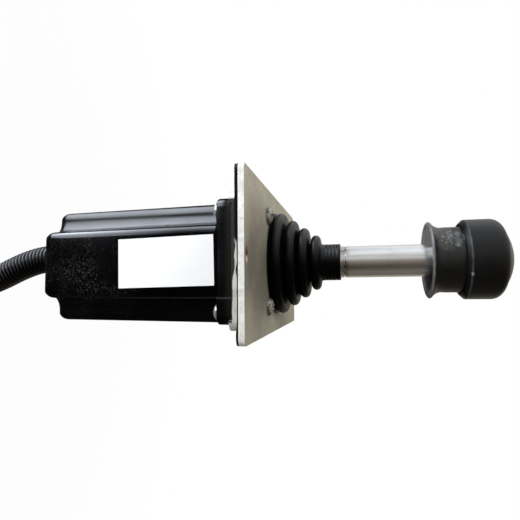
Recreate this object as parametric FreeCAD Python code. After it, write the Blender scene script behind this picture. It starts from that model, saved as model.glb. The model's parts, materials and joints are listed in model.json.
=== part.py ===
"""Two-axis joystick controller with a lift-to-release collar, for a panel.

Millimetres. +Z runs up the lever, and the origin is the centre of the face that
the gasket puts on the panel. -Y is the side that carries the label.
"""
import FreeCAD
import Part
import math
import os

V = FreeCAD.Vector
UP = V(0, 0, 1)
DOWN = V(0, 0, -1)

# Clearances
SLIP = 0.05          # between a fixed piece and the hole that it sits in
RUNNING = 0.06       # round a shaft that turns or slides in its hole
SOFT_GAP = 0.2       # round a rubber piece
FREE_GAP = 0.3       # between a moving piece and a flat that it doesn't touch

# Screws
M4_R = 2.0
M4_HEAD_R = 4.0
M4_HEAD_HIGH = 2.6
M3_R = 1.5
M3_HEAD_R = 2.8
M3_HEAD_HIGH = 1.8
FRONT_SCREW_LONG = 8.0
REAR_SCREW_LONG = 12.5
BRACKET_SCREW_LONG = 6.0
HOLE_EASE = 0.25         # between a screw and the hole that it passes through
TIP_ROOM = 1.3           # past the end of a screw's full thread

# Bearings and angle sensors, each pair on one tilt axis
POCKET_REACH = 24.0      # how far the trunnion pockets run from the centre
POCKET_HALF = 9.0
BUSH_R = 4.5
BUSH_LONG = 4.6
BUSH_FLANGE_R = 5.3
BUSH_FLANGE = 1.0
SENSOR_SIDE = 9.6
SENSOR_CORNER = 1.0
SENSOR_THICK = 2.4
SENSOR_HUB = 0.3
SENSOR_HUB_R = 3.5
SENSOR_POCKET = 3.0

# Pivot frame
FRAME_WALL = 1.4         # outside the sensors' pockets
FRAME_SIDE = 2 * (POCKET_REACH + BUSH_LONG + SENSOR_POCKET + FRAME_WALL)
FRAME_CORNER = 5.0
FRAME_DEPTH = 12.7
FRAME_LIP = 1.4           # at each corner, round the housing's flange
FRAME_BORE_R = 20.0
PIVOT_BELOW_FACE = 9.7   # from the plate's outer face down to the two tilt axes

# Front plate and gasket
PLATE_MARGIN = 2.0       # how far the plate stands past the frame at its long sides
PLATE_WIDE = FRAME_SIDE + 2 * PLATE_MARGIN
PLATE_LONG = 136.0
PLATE_THICK = 2.5
PLATE_CORNER = 2.5
PLATE_HOLE_R = 24.0
GASKET_THICK = 1.2

# Boot: convolutions that step in by the same amount
BOOT_WALL = 1.2
BOOT_FLANGE = 1.4
BOOT_FLANGE_R = PLATE_HOLE_R + 3.4
BOOT_FOOT_R = PLATE_HOLE_R + 2.3
BOOT_FOOT = 0.5
RING_COUNT = 4
FIRST_RING_R = BOOT_FOOT_R - 0.2
FIRST_RING_UP = 3.7      # from the plate's face to the first crest
RING_STEP_R = 4.0
RING_STEP_Z = 5.87
RING_TUBE_R = 2.35
VALLEY_DEPTH = 4.3
CREST_HALF_DEG = 75.0
SLEEVE_WALL = 1.1
SLEEVE_LONG = 10.0

# Front screws, in the metal outside the boot's seat
SCREW_WALL = 1.46
SCREW_PITCH = math.sqrt(2) * (BOOT_FLANGE_R + SOFT_GAP + SCREW_WALL + M4_R + SLIP)

# Housing: a plus-shaped cover on a square flange, with a screw in each notch
SEAL_THICK = 0.5
LOBE_HALF = 18.3
HEAD_ROOM = 2.2          # between a lobe and a screw head
FLANGE_RIM = 1.95        # between a screw head and the flange's side
LOBE_SETBACK = 0.1
REAR_PITCH = 2 * (LOBE_HALF + HEAD_ROOM + M4_HEAD_R)
FLANGE_SIDE = REAR_PITCH + 2 * (M4_HEAD_R + FLANGE_RIM)
FLANGE_CORNER = 5.0
FLANGE_THICK = 7.9
FLANGE_EDGE = 0.8
COVER_LONG = 96.0
LOBE_REACH = FLANGE_SIDE / 2 - LOBE_SETBACK
LOBE_CORNER = 5.0
NOTCH_CORNER = 6.0       # about a screw head's centre
COVER_EDGE = 4.2         # rounding of the closed end
DRAFT_DEG = 0.6
WALL = 2.5
END_WALL = 3.0
INNER_CORNER = 1.5

# Label on the near lobe
LABEL_LONG = 50.0
LABEL_WIDE = 24.4
LABEL_THICK = 0.15
LABEL_FROM_FLANGE = 1.0

# Gimbal and bail
TILT_DEG = 20.0
RING_R = 14.0
RING_BORE_R = 10.5
RING_HALF_HIGH = 4.0
CHEEK_OUT = 2.0
TRUNNION_R = 3.0
SENSOR_TIP_R = 1.6
PIN_R = 2.0
PIN_IN_LEVER = 3.4
BAIL_INNER = 15.4
BAIL_ARM = 3.2
BAIL_WIDE = 8.0
BAIL_DROP = 17.0
BAIL_BRIDGE = 3.5
BAIL_CORNER = 4.0
BAIL_EDGE = 2.6          # beside the slot
ARCH_TOP = 0.5           # rounding of an arch's upper corners
SLOT_EASE = 0.55         # on each side of the lever's neck
SLOT_OVERRUN = 0.8

# Centring springs on the trunnions
TORSION_WIRE = 0.9
TORSION_R = 4.2
TORSION_TURNS = 3.0

# Lever
SHAFT_R = 8.0
SHAFT_BELOW_PIVOT = 6.5
SHAFT_TOP = 104.7
SHAFT_EDGE = 0.6
NECK_R = 5.0
NECK_BELOW_PIVOT = 24.0
ROD_R = 2.5
ROD_PAST_NECK = 3.0
ROD_ABOVE_PIN = 3.0
ROD_TIP = 0.9
GROOVE_UP = 1.7          # above the boot's sleeve
GROOVE_WIDE = 0.8
GROOVE_DEEP = 0.35

# Lift collar
COLLAR_LIFT = 6.0
COLLAR_Z = 78.9          # the finger rim's lowest circle
RIM_R = 18.8
RIM_LIP = 2.0
COLLAR_R = 15.9
FLARE_HIGH = 7.5
COLLAR_HIGH = 17.0
COLLAR_EDGE = 0.5
DISH_DEEP = 2.2
DISH_FLAT = 1.2
COLLAR_FLOOR = 6.8       # thickness of the collar's lower web
SPRING_ROOM_R = 11.2
LIFT_PIN_R = 1.5
LIFT_PIN_HALF = 12.6
LIFT_PIN_UP = 4.6        # above the rim's lowest circle
KEY_WIDE = 13.0
KEY_DEEP = 1.4
KEY_HIGH = 8.6
KEY_TURN_DEG = 39.0

# Collar spring
COIL_WIRE = 1.3
COIL_TURNS = 4.0

# Cap
CAP_R = 19.2
CAP_Z = 95.4             # where the straight side starts, above the rounded lip
CAP_LAND = 0.5           # flat at the skirt's lower end
CAP_SKIRT_BORE_R = 16.5
CAP_SIDE_TOP = 107.7
CAP_EDGE_R = 6.0
CAP_DOME_R = 30.0
CAP_WEB = 2.4
CAP_HEAD_ROOM = 0.6      # above the lifted collar
CAP_SCREW_R = 2.5
CAP_SCREW_LONG = 10.0
CAP_SCREW_HEAD_R = 4.4
CAP_SCREW_HEAD = 2.6
CAP_SCREW_SOCKET_R = 2.0
INSERT_THICK = 2.3

# Bracket and lock cup under the mechanism
BRACKET_THICK = 1.6
BRACKET_WIDE = 16.0
BRACKET_ARM = FRAME_BORE_R - 1.0
BRACKET_BEND = 3.0
BRACKET_SCREW_X = POCKET_HALF + 3.0
BRACKET_SCREW_Y = FRAME_BORE_R + 1.8
BRACKET_TAB = BRACKET_SCREW_Y + 3.8
BRACKET_TAB_HALF = BRACKET_SCREW_X + 3.2
CUP_R = 7.0
CUP_HIGH = 3.0
CUP_FLOOR = 0.8
CUP_EDGE = 0.6
DRAIN_R = 2.8

# Circuit board, held in ribs of the cover
BOARD_THICK = 1.6
BOARD_LONG = 50.0
BOARD_END_GAP = 8.0
BOARD_FROM_GLAND = 6.0
BOARD_HOLE_R = 1.6
BOARD_HOLE_IN = 5.5
BOARD_HOLE_DOWN = 4.0
RIB_WIDE = 1.5
RIB_HIGH = 2.4
RIB_SINK = 1.0

# Pieces on the board: WIDE runs across it, HIGH off it, LONG and UP along it
HEADER_WIDE = 22.0
HEADER_HIGH = 6.0
HEADER_LONG = 8.0
HEADER_UP = 3.0
RELAY_WIDE = 12.0
RELAY_HIGH = 9.0
RELAY_LONG = 14.0
RELAY_UP = 26.0
RELAY_OUT = 8.0
CAPACITOR_R = 3.2
CAPACITOR_OUT = 17.0
CAPACITOR_UP = 10.0
DRIVER_WIDE = 6.0
DRIVER_HIGH = 2.4
DRIVER_LONG = 7.0
DRIVER_UP = 8.0
DRIVER_PITCH = 8.5

# Conduit gland and conduit
CONDUIT_R = 7.9
OUTLET_X = -6.2
GLAND_R = 9.6
GLAND_NOSE = 2.0
GLAND_EDGE = 0.5
GLAND_THREAD_R = 8.6
GLAND_BORE_R = 6.4
GLAND_PAST_NUT = 1.5
LOCKNUT_FLATS = 22.0
LOCKNUT_THICK = 4.0
RUNS = (14.0, 18.0, 28.0, 40.0, 50.0, 50.0, 50.0, 44.0)
TURNS = ((11.0, 0.0), (12.0, 2.0), (-10.0, 2.0), (-5.5, -3.0), (-4.0, -3.0), (-2.5, 1.0), (-1.5, 2.0))

# Connector at the conduit's end
PLUG_WIDE = 24.0
PLUG_DEEP = 19.0
PLUG_LONG = 34.0
PLUG_CORNER = 2.5
PLUG_COLLAR_LONG = 12.0
PLUG_COLLAR_TAPER = 3.0
PLUG_COLLAR_R = 9.4
PLUG_NOSE = 4.0
PLUG_STEP = 1.5          # how far the nose stands in from the body
GRIP_COUNT = 4
GRIP_PITCH = 5.0
GRIP_WIDE = 1.6
GRIP_PROUD = 0.7
GRIP_UP = 6.0
LATCH_WIDE = 9.0
LATCH_THICK = 2.2
LATCH_UP = 5.0
LATCH_SHORT = 8.0        # how much shorter the tongue is than the body
LATCH_TOOTH = 1.1
LATCH_TOOTH_LONG = 4.0

# Levels and places worked out from the sizes above
PLATE_Z = GASKET_THICK
FACE_Z = PLATE_Z + PLATE_THICK
FRAME_Z = PLATE_Z - FRAME_DEPTH
PIVOT_Z = FACE_Z - PIVOT_BELOW_FACE
SEAL_Z = FRAME_Z - SEAL_THICK
FLANGE_Z = SEAL_Z - FLANGE_THICK
COVER_Z = FLANGE_Z - COVER_LONG
CAVITY_Z = COVER_Z + END_WALL
SHRINK = COVER_LONG * math.tan(math.radians(DRAFT_DEG))
GLAND_Z = COVER_Z - GLAND_NOSE
PIVOT = V(0, 0, PIVOT_Z)
SENSOR_FLOOR = POCKET_REACH + BUSH_LONG
FIRST_RING_Z = FACE_Z + FIRST_RING_UP
LAST_CREST_Z = FIRST_RING_Z + RING_STEP_Z * (RING_COUNT - 1) + RING_TUBE_R
SLEEVE_R = SHAFT_R + SOFT_GAP + SLEEVE_WALL
SLEEVE_TOP = LAST_CREST_Z + SLEEVE_LONG
GROOVE_Z = SLEEVE_TOP + GROOVE_UP
LIFT_PIN_Z = COLLAR_Z + LIFT_PIN_UP
LOCK_TIP_Z = PIVOT_Z - NECK_BELOW_PIVOT - ROD_PAST_NECK
CAP_CEILING_Z = COLLAR_Z + COLLAR_HIGH + COLLAR_LIFT + CAP_HEAD_ROOM
CAP_EDGE_Z = CAP_SIDE_TOP + CAP_EDGE_R
INSERT_R = CAP_R - CAP_EDGE_R
BRACKET_Z = LOCK_TIP_Z - FREE_GAP - CUP_HIGH - BRACKET_THICK
BOARD_X = OUTLET_X + GLAND_THREAD_R + BOARD_FROM_GLAND
BOARD_LOW = CAVITY_Z + BOARD_END_GAP
BOARD_HIGH = BOARD_LOW + BOARD_LONG


def box(size_x, size_y, size_z, x, y, z):
    """A block centred on x and y, standing on z."""
    return Part.makeBox(size_x, size_y, size_z, V(x - size_x / 2, y - size_y / 2, z))


def rod(radius, start, end):
    """A round bar between two points."""
    along = end - start
    return Part.makeCylinder(radius, along.Length, start, along)


def corners(pitch):
    """The four corners of a square pattern."""
    half = pitch / 2
    return [(sx * half, sy * half) for sx in (-1, 1) for sy in (-1, 1)]


def rounded_outline(points, radii, z):
    """A closed wire of straight sides whose corners are arcs."""
    count = len(points)
    arcs = []
    for i in range(count):
        here = V(points[i][0], points[i][1], z)
        before = V(points[i - 1][0], points[i - 1][1], z) - here
        after = V(points[(i + 1) % count][0], points[(i + 1) % count][1], z) - here
        before.normalize()
        after.normalize()
        half = before.getAngle(after) / 2
        reach = radii[i] / math.tan(half)
        middle = before + after
        middle.normalize()
        centre = here + middle * (radii[i] / math.sin(half))
        arcs.append((here + before * reach, centre - middle * radii[i], here + after * reach))
    edges = []
    for i in range(count):
        start, middle, end = arcs[i]
        edges.append(Part.Arc(start, middle, end).toShape())
        edges.append(Part.LineSegment(end, arcs[(i + 1) % count][0]).toShape())
    return Part.Wire(edges)


def rounded_plate(wide, long, corner, z, thick):
    """A flat plate with rounded corners."""
    points = [(wide / 2, -long / 2), (wide / 2, long / 2), (-wide / 2, long / 2), (-wide / 2, -long / 2)]
    outline = rounded_outline(points, [corner] * 4, z)
    return Part.Face(outline).extrude(UP * thick)


def plus_outline(reach, half, outer, inner, z):
    """The cover's section: four lobes with rounded corners and rounded notches."""
    points = []
    radii = []
    for quarter in range(4):
        turn = math.radians(90 * quarter)
        for x, y, r in ((half, -reach, outer), (half, -half, inner), (reach, -half, outer)):
            points.append((x * math.cos(turn) - y * math.sin(turn), x * math.sin(turn) + y * math.cos(turn)))
            radii.append(r)
    return rounded_outline(points, radii, z)


def plus_body(inset, top, bottom):
    """A drafted plus-shaped body between two levels, set in from the cover's outer faces."""
    wires = []
    for z in (top, bottom):
        drawn_in = (FLANGE_Z - z) * math.tan(math.radians(DRAFT_DEG)) + inset
        outer = max(LOBE_CORNER - inset, INNER_CORNER)
        inner = NOTCH_CORNER + inset
        wires.append(plus_outline(LOBE_REACH - drawn_in, LOBE_HALF - drawn_in, outer, inner, z))
    return Part.makeLoft(wires, True, True)


def revolved(points, z0=0.0):
    """A solid of revolution about Z. Each point is (r, z), or (r, z, r_mid, z_mid) for an arc up to it."""
    edges = []
    last = V(points[0][0], 0, points[0][1] + z0)
    first = last
    for point in points[1:]:
        here = V(point[0], 0, point[1] + z0)
        if len(point) == 4:
            middle = V(point[2], 0, point[3] + z0)
            edges.append(Part.Arc(last, middle, here).toShape())
        else:
            edges.append(Part.LineSegment(last, here).toShape())
        last = here
    edges.append(Part.LineSegment(last, first).toShape())
    return Part.Face(Part.Wire(edges)).revolve(V(0, 0, 0), UP, 360)


def aimed(shape, place, direction):
    """Moves a shape made on the origin along +Z to a place and a direction."""
    moved = shape.copy()
    moved.Placement = FreeCAD.Placement(place, FreeCAD.Rotation(UP, direction))
    return moved


def pan_screw(radius, head_r, head_high, length):
    """A pan head screw, its head above z = 0, with a cross recess."""
    rim = head_high * 0.45
    head = revolved([
        (0, 0), (head_r, 0), (head_r, rim),
        (0, head_high, head_r * 0.62, head_high * 0.87),
    ])
    shank = rod(radius, V(0, 0, -length), V(0, 0, 0))
    tip = Part.makeCone(radius * 0.7, radius, radius * 0.5, V(0, 0, -length - radius * 0.5))
    slot_long = head_r * 1.1
    slot_wide = head_r * 0.24
    depth = head_high * 0.5
    recess = box(slot_long, slot_wide, head_high, 0, 0, head_high - depth)
    recess = recess.fuse(box(slot_wide, slot_long, head_high, 0, 0, head_high - depth))
    return head.fuse([shank, tip]).cut(recess).removeSplitter()


def coil(radius, wire, turns, high, z0):
    """A closed helical spring about Z, between z0 and z0 + high."""
    rise = high - wire
    path = Part.makeHelix(rise / turns, rise, radius)
    path.translate(V(0, 0, z0 + wire / 2))
    half = wire / 2
    section = Part.makePolygon([V(radius + x, 0, z0 + half + z) for x, z in (
        (-half, -half), (half, -half), (half, half), (-half, half), (-half, -half))])
    return Part.Wire(path.Edges).makePipeShell([section], True, True)


def front_plate():
    plate = rounded_plate(PLATE_WIDE, PLATE_LONG, PLATE_CORNER, PLATE_Z, PLATE_THICK)
    holes = [rod(PLATE_HOLE_R, V(0, 0, PLATE_Z - 1), V(0, 0, FACE_Z + 1))]
    for x, y in corners(SCREW_PITCH):
        holes.append(rod(M4_R + HOLE_EASE, V(x, y, PLATE_Z - 1), V(x, y, FACE_Z + 1)))
    return plate.cut(holes)


def plate_gasket():
    sheet = rounded_plate(PLATE_WIDE, PLATE_LONG, PLATE_CORNER, 0, GASKET_THICK)
    side = FRAME_SIDE + 2 * SOFT_GAP
    opening = rounded_plate(side, side, FRAME_CORNER + SOFT_GAP, -1, GASKET_THICK + 2)
    return sheet.cut(opening)


def plate_screws():
    screw = pan_screw(M4_R, M4_HEAD_R, M4_HEAD_HIGH, FRONT_SCREW_LONG)
    return [aimed(screw, V(x, y, FACE_Z), UP) for x, y in corners(SCREW_PITCH)]


def corner_lips():
    """Low lips at the frame's corners, which keep the housing's flange in place."""
    opening = FLANGE_SIDE + 2 * SOFT_GAP
    low = FRAME_Z - FRAME_LIP
    ring = rounded_plate(FRAME_SIDE, FRAME_SIDE, FRAME_CORNER, low, FRAME_LIP + 1)
    ring = ring.cut(rounded_plate(opening, opening, FLANGE_CORNER + SOFT_GAP, low - 1, FRAME_LIP + 1))
    return [ring.common(box(FRAME_CORNER, FRAME_CORNER, FRAME_LIP + 1, x, y, low))
            for x, y in corners(FRAME_SIDE - FRAME_CORNER)]


def pivot_frame():
    """Cast frame: a bore, a seat for the boot's flange, four pockets with bearings and sensors."""
    frame = rounded_plate(FRAME_SIDE, FRAME_SIDE, FRAME_CORNER, FRAME_Z, FRAME_DEPTH)
    frame = frame.fuse(corner_lips()).removeSplitter()
    low, high = V(0, 0, FRAME_Z - 1), V(0, 0, PLATE_Z + 1)
    cuts = [rod(FRAME_BORE_R, low, high)]
    cuts.append(rod(BOOT_FLANGE_R + SOFT_GAP, V(0, 0, PLATE_Z - BOOT_FLANGE - 2 * SOFT_GAP), high))
    for turn in (0, 90):
        arm = box(2 * POCKET_REACH, 2 * POCKET_HALF, FRAME_DEPTH + 2, 0, 0, FRAME_Z - 1)
        bore = rod(BUSH_R + SLIP, PIVOT - V(SENSOR_FLOOR, 0, 0), PIVOT + V(SENSOR_FLOOR, 0, 0))
        pocket_side = SENSOR_SIDE + 2 * SLIP
        pocket = box(SENSOR_POCKET, pocket_side, PIVOT_Z + pocket_side / 2 - FRAME_Z + 1,
                     SENSOR_FLOOR + SENSOR_POCKET / 2, 0, FRAME_Z - 1)
        for cut in (arm, bore, pocket):
            cut.rotate(V(0, 0, 0), UP, turn)
            cuts.append(cut)
    for x, y in corners(SCREW_PITCH):
        depth = FRONT_SCREW_LONG - PLATE_THICK + TIP_ROOM
        cuts.append(rod(M4_R + SLIP, V(x, y, PLATE_Z - depth), V(x, y, PLATE_Z + 1)))
    for x, y in corners(REAR_PITCH):
        depth = REAR_SCREW_LONG - FLANGE_THICK - SEAL_THICK + TIP_ROOM
        cuts.append(rod(M4_R + SLIP, V(x, y, FRAME_Z - 1), V(x, y, FRAME_Z + depth)))
    for x, y in bracket_holes():
        cuts.append(rod(M3_R + SLIP, V(x, y, FRAME_Z - 1), V(x, y, FRAME_Z + BRACKET_SCREW_LONG)))
    return frame.cut(cuts)


def trunnion_bushes():
    """Four flanged bushes, pushed into the frame from its pockets."""
    inner = TRUNNION_R + RUNNING
    bush = revolved([
        (inner, -BUSH_FLANGE), (BUSH_FLANGE_R, -BUSH_FLANGE), (BUSH_FLANGE_R, 0), (BUSH_R, 0),
        (BUSH_R, BUSH_LONG), (inner, BUSH_LONG),
    ])
    solids = []
    for angle in (0, 90, 180, 270):
        out = V(math.cos(math.radians(angle)), math.sin(math.radians(angle)), 0)
        solids.append(aimed(bush, PIVOT + out * POCKET_REACH, out))
    return solids


def axis_sensor(direction):
    """A flat angle sensor with a hole for the trunnion's tip."""
    side = SENSOR_SIDE
    body = box(side, side, SENSOR_THICK, 0, 0, 0)
    upright = [e for e in body.Edges if abs(e.tangentAt(e.FirstParameter).z) > 0.9]
    body = body.makeFillet(SENSOR_CORNER, upright)
    hub = rod(SENSOR_HUB_R, V(0, 0, 0), V(0, 0, SENSOR_THICK + SENSOR_HUB))
    body = body.fuse(hub).cut(rod(SENSOR_TIP_R + RUNNING, V(0, 0, -1), V(0, 0, SENSOR_THICK + 1)))
    return aimed(body, PIVOT + direction * (SENSOR_FLOOR + FREE_GAP / 2), direction)


def trunnion(direction, from_r, tip):
    """A stepped trunnion along a direction, with a thin tip where it reaches a sensor."""
    solids = [rod(TRUNNION_R, PIVOT + direction * from_r, PIVOT + direction * (SENSOR_FLOOR - FREE_GAP))]
    if tip:
        end = SENSOR_FLOOR + SENSOR_THICK
        solids.append(rod(SENSOR_TIP_R, PIVOT + direction * from_r, PIVOT + direction * end))
    return solids


def gimbal_ring():
    """A ring with trunnions along Y and two bored cheeks along X for the lever's pins."""
    low, high = PIVOT - UP * RING_HALF_HIGH, PIVOT + UP * RING_HALF_HIGH
    ring = rod(RING_R, low, high)
    for side in (-1, 1):
        direction = V(0, side, 0)
        start = PIVOT + direction * (RING_BORE_R + 1)
        ring = ring.fuse(rod(RING_HALF_HIGH, start, PIVOT + direction * (RING_R + CHEEK_OUT)))
        ring = ring.fuse(trunnion(direction, RING_BORE_R + 1, side > 0))
    ring = ring.cut(rod(RING_BORE_R, low - UP, high + UP))
    return ring.cut(rod(PIN_R + SLIP, PIVOT - V(RING_R + 1, 0, 0), PIVOT + V(RING_R + 1, 0, 0)))


def lever_pins():
    """Two stub pins that carry the lever in the ring."""
    inner = SHAFT_R - PIN_IN_LEVER
    return [rod(PIN_R, PIVOT + V(side * inner, 0, 0), PIVOT + V(side * (RING_R - FREE_GAP), 0, 0))
            for side in (-1, 1)]


def arch(half, bottom, top, corner, wide):
    """A block seen as a U from the side, centred on Y, with rounded lower corners."""
    points = [(half, bottom), (half, top), (-half, top), (-half, bottom)]
    block = Part.Face(rounded_outline(points, [corner, ARCH_TOP, ARCH_TOP, corner], 0)).extrude(UP * wide)
    block.rotate(V(0, 0, 0), V(1, 0, 0), 90)
    block.translate(V(0, wide / 2, 0))
    return block


def sensor_bail():
    """An arch that hangs from two trunnions, with a slot that the lever's neck runs in."""
    outer = BAIL_INNER + BAIL_ARM
    floor = PIVOT_Z - BAIL_DROP - BAIL_BRIDGE
    block = arch(outer, floor, PIVOT_Z, BAIL_CORNER, BAIL_WIDE)
    room = arch(BAIL_INNER, floor + BAIL_BRIDGE, PIVOT_Z + BAIL_WIDE, BAIL_CORNER - BAIL_ARM / 2,
                BAIL_WIDE + 2)
    solids = []
    for side in (-1, 1):
        direction = V(side, 0, 0)
        start = PIVOT + direction * BAIL_INNER
        solids.append(rod(BAIL_WIDE / 2, start, start + direction * BAIL_ARM))
        solids += trunnion(direction, BAIL_INNER, side > 0)
    tilt = math.radians(TILT_DEG)
    reach = math.tan(tilt) * (BAIL_DROP + BAIL_BRIDGE) + NECK_R / math.cos(tilt) + SLOT_OVERRUN
    slot_half = NECK_R + SLOT_EASE
    cheek = box(2 * (outer - BAIL_ARM), 2 * (slot_half + BAIL_EDGE), BAIL_BRIDGE, 0, 0, floor)
    slot = box(2 * reach, 2 * slot_half, BAIL_BRIDGE + 2, 0, 0, floor - 1)
    return block.cut(room).fuse(solids + [cheek]).cut(slot).removeSplitter()


def torsion_spring(direction):
    """A few close turns round a trunnion, between the moving piece and the bush."""
    start = BAIL_INNER + BAIL_ARM + FREE_GAP
    end = POCKET_REACH - BUSH_FLANGE - FREE_GAP
    spring = coil(TORSION_R, TORSION_WIRE, TORSION_TURNS, end - start, 0)
    return aimed(spring, PIVOT + direction * start, direction)


def lever_shaft():
    """The bare metal lever: a bar with a necked lower end, bored for the lock rod."""
    bottom = PIVOT_Z - SHAFT_BELOW_PIVOT
    neck = PIVOT_Z - NECK_BELOW_PIVOT
    groove_r = SHAFT_R - GROOVE_DEEP
    shoulder = (SHAFT_R - NECK_R) / 2
    shaft = revolved([
        (0, neck), (NECK_R - SHAFT_EDGE, neck), (NECK_R, neck + SHAFT_EDGE), (NECK_R, bottom - shoulder),
        (SHAFT_R, bottom + shoulder / 2), (SHAFT_R, GROOVE_Z), (groove_r, GROOVE_Z),
        (groove_r, GROOVE_Z + GROOVE_WIDE), (SHAFT_R, GROOVE_Z + GROOVE_WIDE),
        (SHAFT_R, SHAFT_TOP - SHAFT_EDGE), (SHAFT_R - SHAFT_EDGE, SHAFT_TOP), (0, SHAFT_TOP),
    ])
    slot_r = LIFT_PIN_R + FREE_GAP
    lifted = LIFT_PIN_Z + COLLAR_LIFT
    rod_top = lifted + ROD_ABOVE_PIN + slot_r
    cuts = [rod(ROD_R + RUNNING, V(0, 0, neck - 1), V(0, 0, rod_top))]
    cuts.append(rod(CAP_SCREW_R + SLIP, V(0, 0, SHAFT_TOP - CAP_SCREW_LONG), V(0, 0, SHAFT_TOP + 1)))
    cuts.append(rod(PIN_R + RUNNING, PIVOT - V(SHAFT_R + 1, 0, 0), PIVOT + V(SHAFT_R + 1, 0, 0)))
    for z in (LIFT_PIN_Z, lifted):
        cuts.append(rod(slot_r, V(0, -SHAFT_R - 1, z), V(0, SHAFT_R + 1, z)))
    cuts.append(box(2 * slot_r, 2 * SHAFT_R + 2, COLLAR_LIFT, 0, 0, LIFT_PIN_Z))
    return shaft.cut(cuts)


def lock_rod():
    """Runs down the lever's bore; its coned tip drops into the lock cup."""
    top = LIFT_PIN_Z + ROD_ABOVE_PIN
    bar = revolved([
        (0, LOCK_TIP_Z), (ROD_R - ROD_TIP, LOCK_TIP_Z), (ROD_R, LOCK_TIP_Z + ROD_TIP),
        (ROD_R, top - ROD_TIP / 2), (ROD_R - ROD_TIP / 2, top), (0, top),
    ])
    return bar.cut(rod(LIFT_PIN_R + SLIP, V(0, -ROD_R - 1, LIFT_PIN_Z), V(0, ROD_R + 1, LIFT_PIN_Z)))


def lift_pin():
    """Ties the collar to the lock rod through the shaft's slot."""
    return rod(LIFT_PIN_R, V(0, -LIFT_PIN_HALF, LIFT_PIN_Z), V(0, LIFT_PIN_HALF, LIFT_PIN_Z))


def lift_collar():
    """A spool: dished finger rim, hollow flare, straight wall with two keyways at its upper end."""
    bore = SHAFT_R + RUNNING
    lip_low = COLLAR_EDGE * 0.7
    flare_mid = (COLLAR_R + (RIM_R - COLLAR_R) * 0.26, FLARE_HIGH * 0.42)
    spool = revolved([
        (bore, DISH_DEEP), (bore + DISH_FLAT, DISH_DEEP), (RIM_R - RIM_LIP, lip_low),
        (RIM_R, COLLAR_EDGE * 1.2, RIM_R - COLLAR_EDGE * 1.1, 0), (RIM_R - COLLAR_EDGE / 2, COLLAR_EDGE * 2.5),
        (COLLAR_R, FLARE_HIGH) + flare_mid,
        (COLLAR_R, COLLAR_HIGH - COLLAR_EDGE), (COLLAR_R - COLLAR_EDGE, COLLAR_HIGH),
        (SPRING_ROOM_R, COLLAR_HIGH), (SPRING_ROOM_R, COLLAR_FLOOR), (bore, COLLAR_FLOOR),
    ], COLLAR_Z)
    ends = LIFT_PIN_HALF + SLIP
    cuts = [rod(LIFT_PIN_R + SLIP, V(0, -ends, LIFT_PIN_Z), V(0, RIM_R + 1, LIFT_PIN_Z))]
    for side in (-1, 1):
        key = box(2 * KEY_DEEP, KEY_WIDE, KEY_HIGH + 1, side * COLLAR_R, 0, COLLAR_Z + COLLAR_HIGH - KEY_HIGH)
        key.rotate(V(0, 0, 0), UP, KEY_TURN_DEG)
        cuts.append(key)
    return spool.cut(cuts)


def collar_spring():
    """Pushes the collar down from the cap's web."""
    low = COLLAR_Z + COLLAR_FLOOR + FREE_GAP
    middle = (SHAFT_R + SPRING_ROOM_R) / 2
    return coil(middle, COIL_WIRE, COIL_TURNS, CAP_CEILING_Z - FREE_GAP - low, low)


def dome_height(radius):
    """Height of the dome above the cap's rounded edge, at a radius."""
    return math.sqrt(CAP_DOME_R ** 2 - radius ** 2) - math.sqrt(CAP_DOME_R ** 2 - INSERT_R ** 2)


def knob_cap():
    """Black cap: a skirt over the collar, a web on the shaft's end, a rounded edge round the insert."""
    seat_z = CAP_EDGE_Z - INSERT_THICK
    web_z = SHAFT_TOP + CAP_WEB
    slant = CAP_EDGE_R * math.sin(math.radians(45))
    land_r = CAP_SKIRT_BORE_R + CAP_LAND
    lip = CAP_R - land_r
    lip_rise = lip * (1 - math.sin(math.radians(45)))
    head_r = CAP_SCREW_HEAD_R + CAP_WEB / 2
    screw_r = CAP_SCREW_R + HOLE_EASE
    bore = SHAFT_R + SLIP
    low = CAP_Z - lip
    return revolved([
        (CAP_SKIRT_BORE_R, low), (land_r, low), (CAP_R, CAP_Z, CAP_R - lip_rise, low + lip_rise),
        (CAP_R, CAP_SIDE_TOP), (INSERT_R, CAP_EDGE_Z, INSERT_R + slant, CAP_SIDE_TOP + slant),
        (INSERT_R, seat_z), (head_r, seat_z), (head_r, web_z), (screw_r, web_z), (screw_r, SHAFT_TOP),
        (bore, SHAFT_TOP), (bore, CAP_CEILING_Z), (CAP_SKIRT_BORE_R, CAP_CEILING_Z),
    ])


def cap_insert():
    """Domed disc that hides the cap's screw."""
    radius = INSERT_R - SLIP
    half = radius / 2
    return revolved([
        (0, CAP_EDGE_Z - INSERT_THICK), (radius, CAP_EDGE_Z - INSERT_THICK),
        (radius, CAP_EDGE_Z + dome_height(radius)),
        (0, CAP_EDGE_Z + dome_height(0), half, CAP_EDGE_Z + dome_height(half)),
    ])


def cap_screw():
    """Socket screw that holds the cap on the lever."""
    head_z = SHAFT_TOP + CAP_WEB
    length = CAP_WEB + CAP_SCREW_LONG - 1
    edge = CAP_SCREW_HEAD * 0.15
    head = revolved([(0, 0), (CAP_SCREW_HEAD_R, 0), (CAP_SCREW_HEAD_R, CAP_SCREW_HEAD - edge),
                     (CAP_SCREW_HEAD_R - edge, CAP_SCREW_HEAD), (0, CAP_SCREW_HEAD)], head_z)
    socket = hexagon(CAP_SCREW_SOCKET_R, head_z + CAP_SCREW_HEAD / 3).extrude(UP * CAP_SCREW_HEAD)
    return head.fuse(rod(CAP_SCREW_R, V(0, 0, head_z - length), V(0, 0, head_z))).cut(socket)


def hexagon(radius, z):
    points = [V(radius * math.cos(math.radians(60 * i)), radius * math.sin(math.radians(60 * i)), z)
              for i in range(7)]
    return Part.Face(Part.makePolygon(points))


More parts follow.
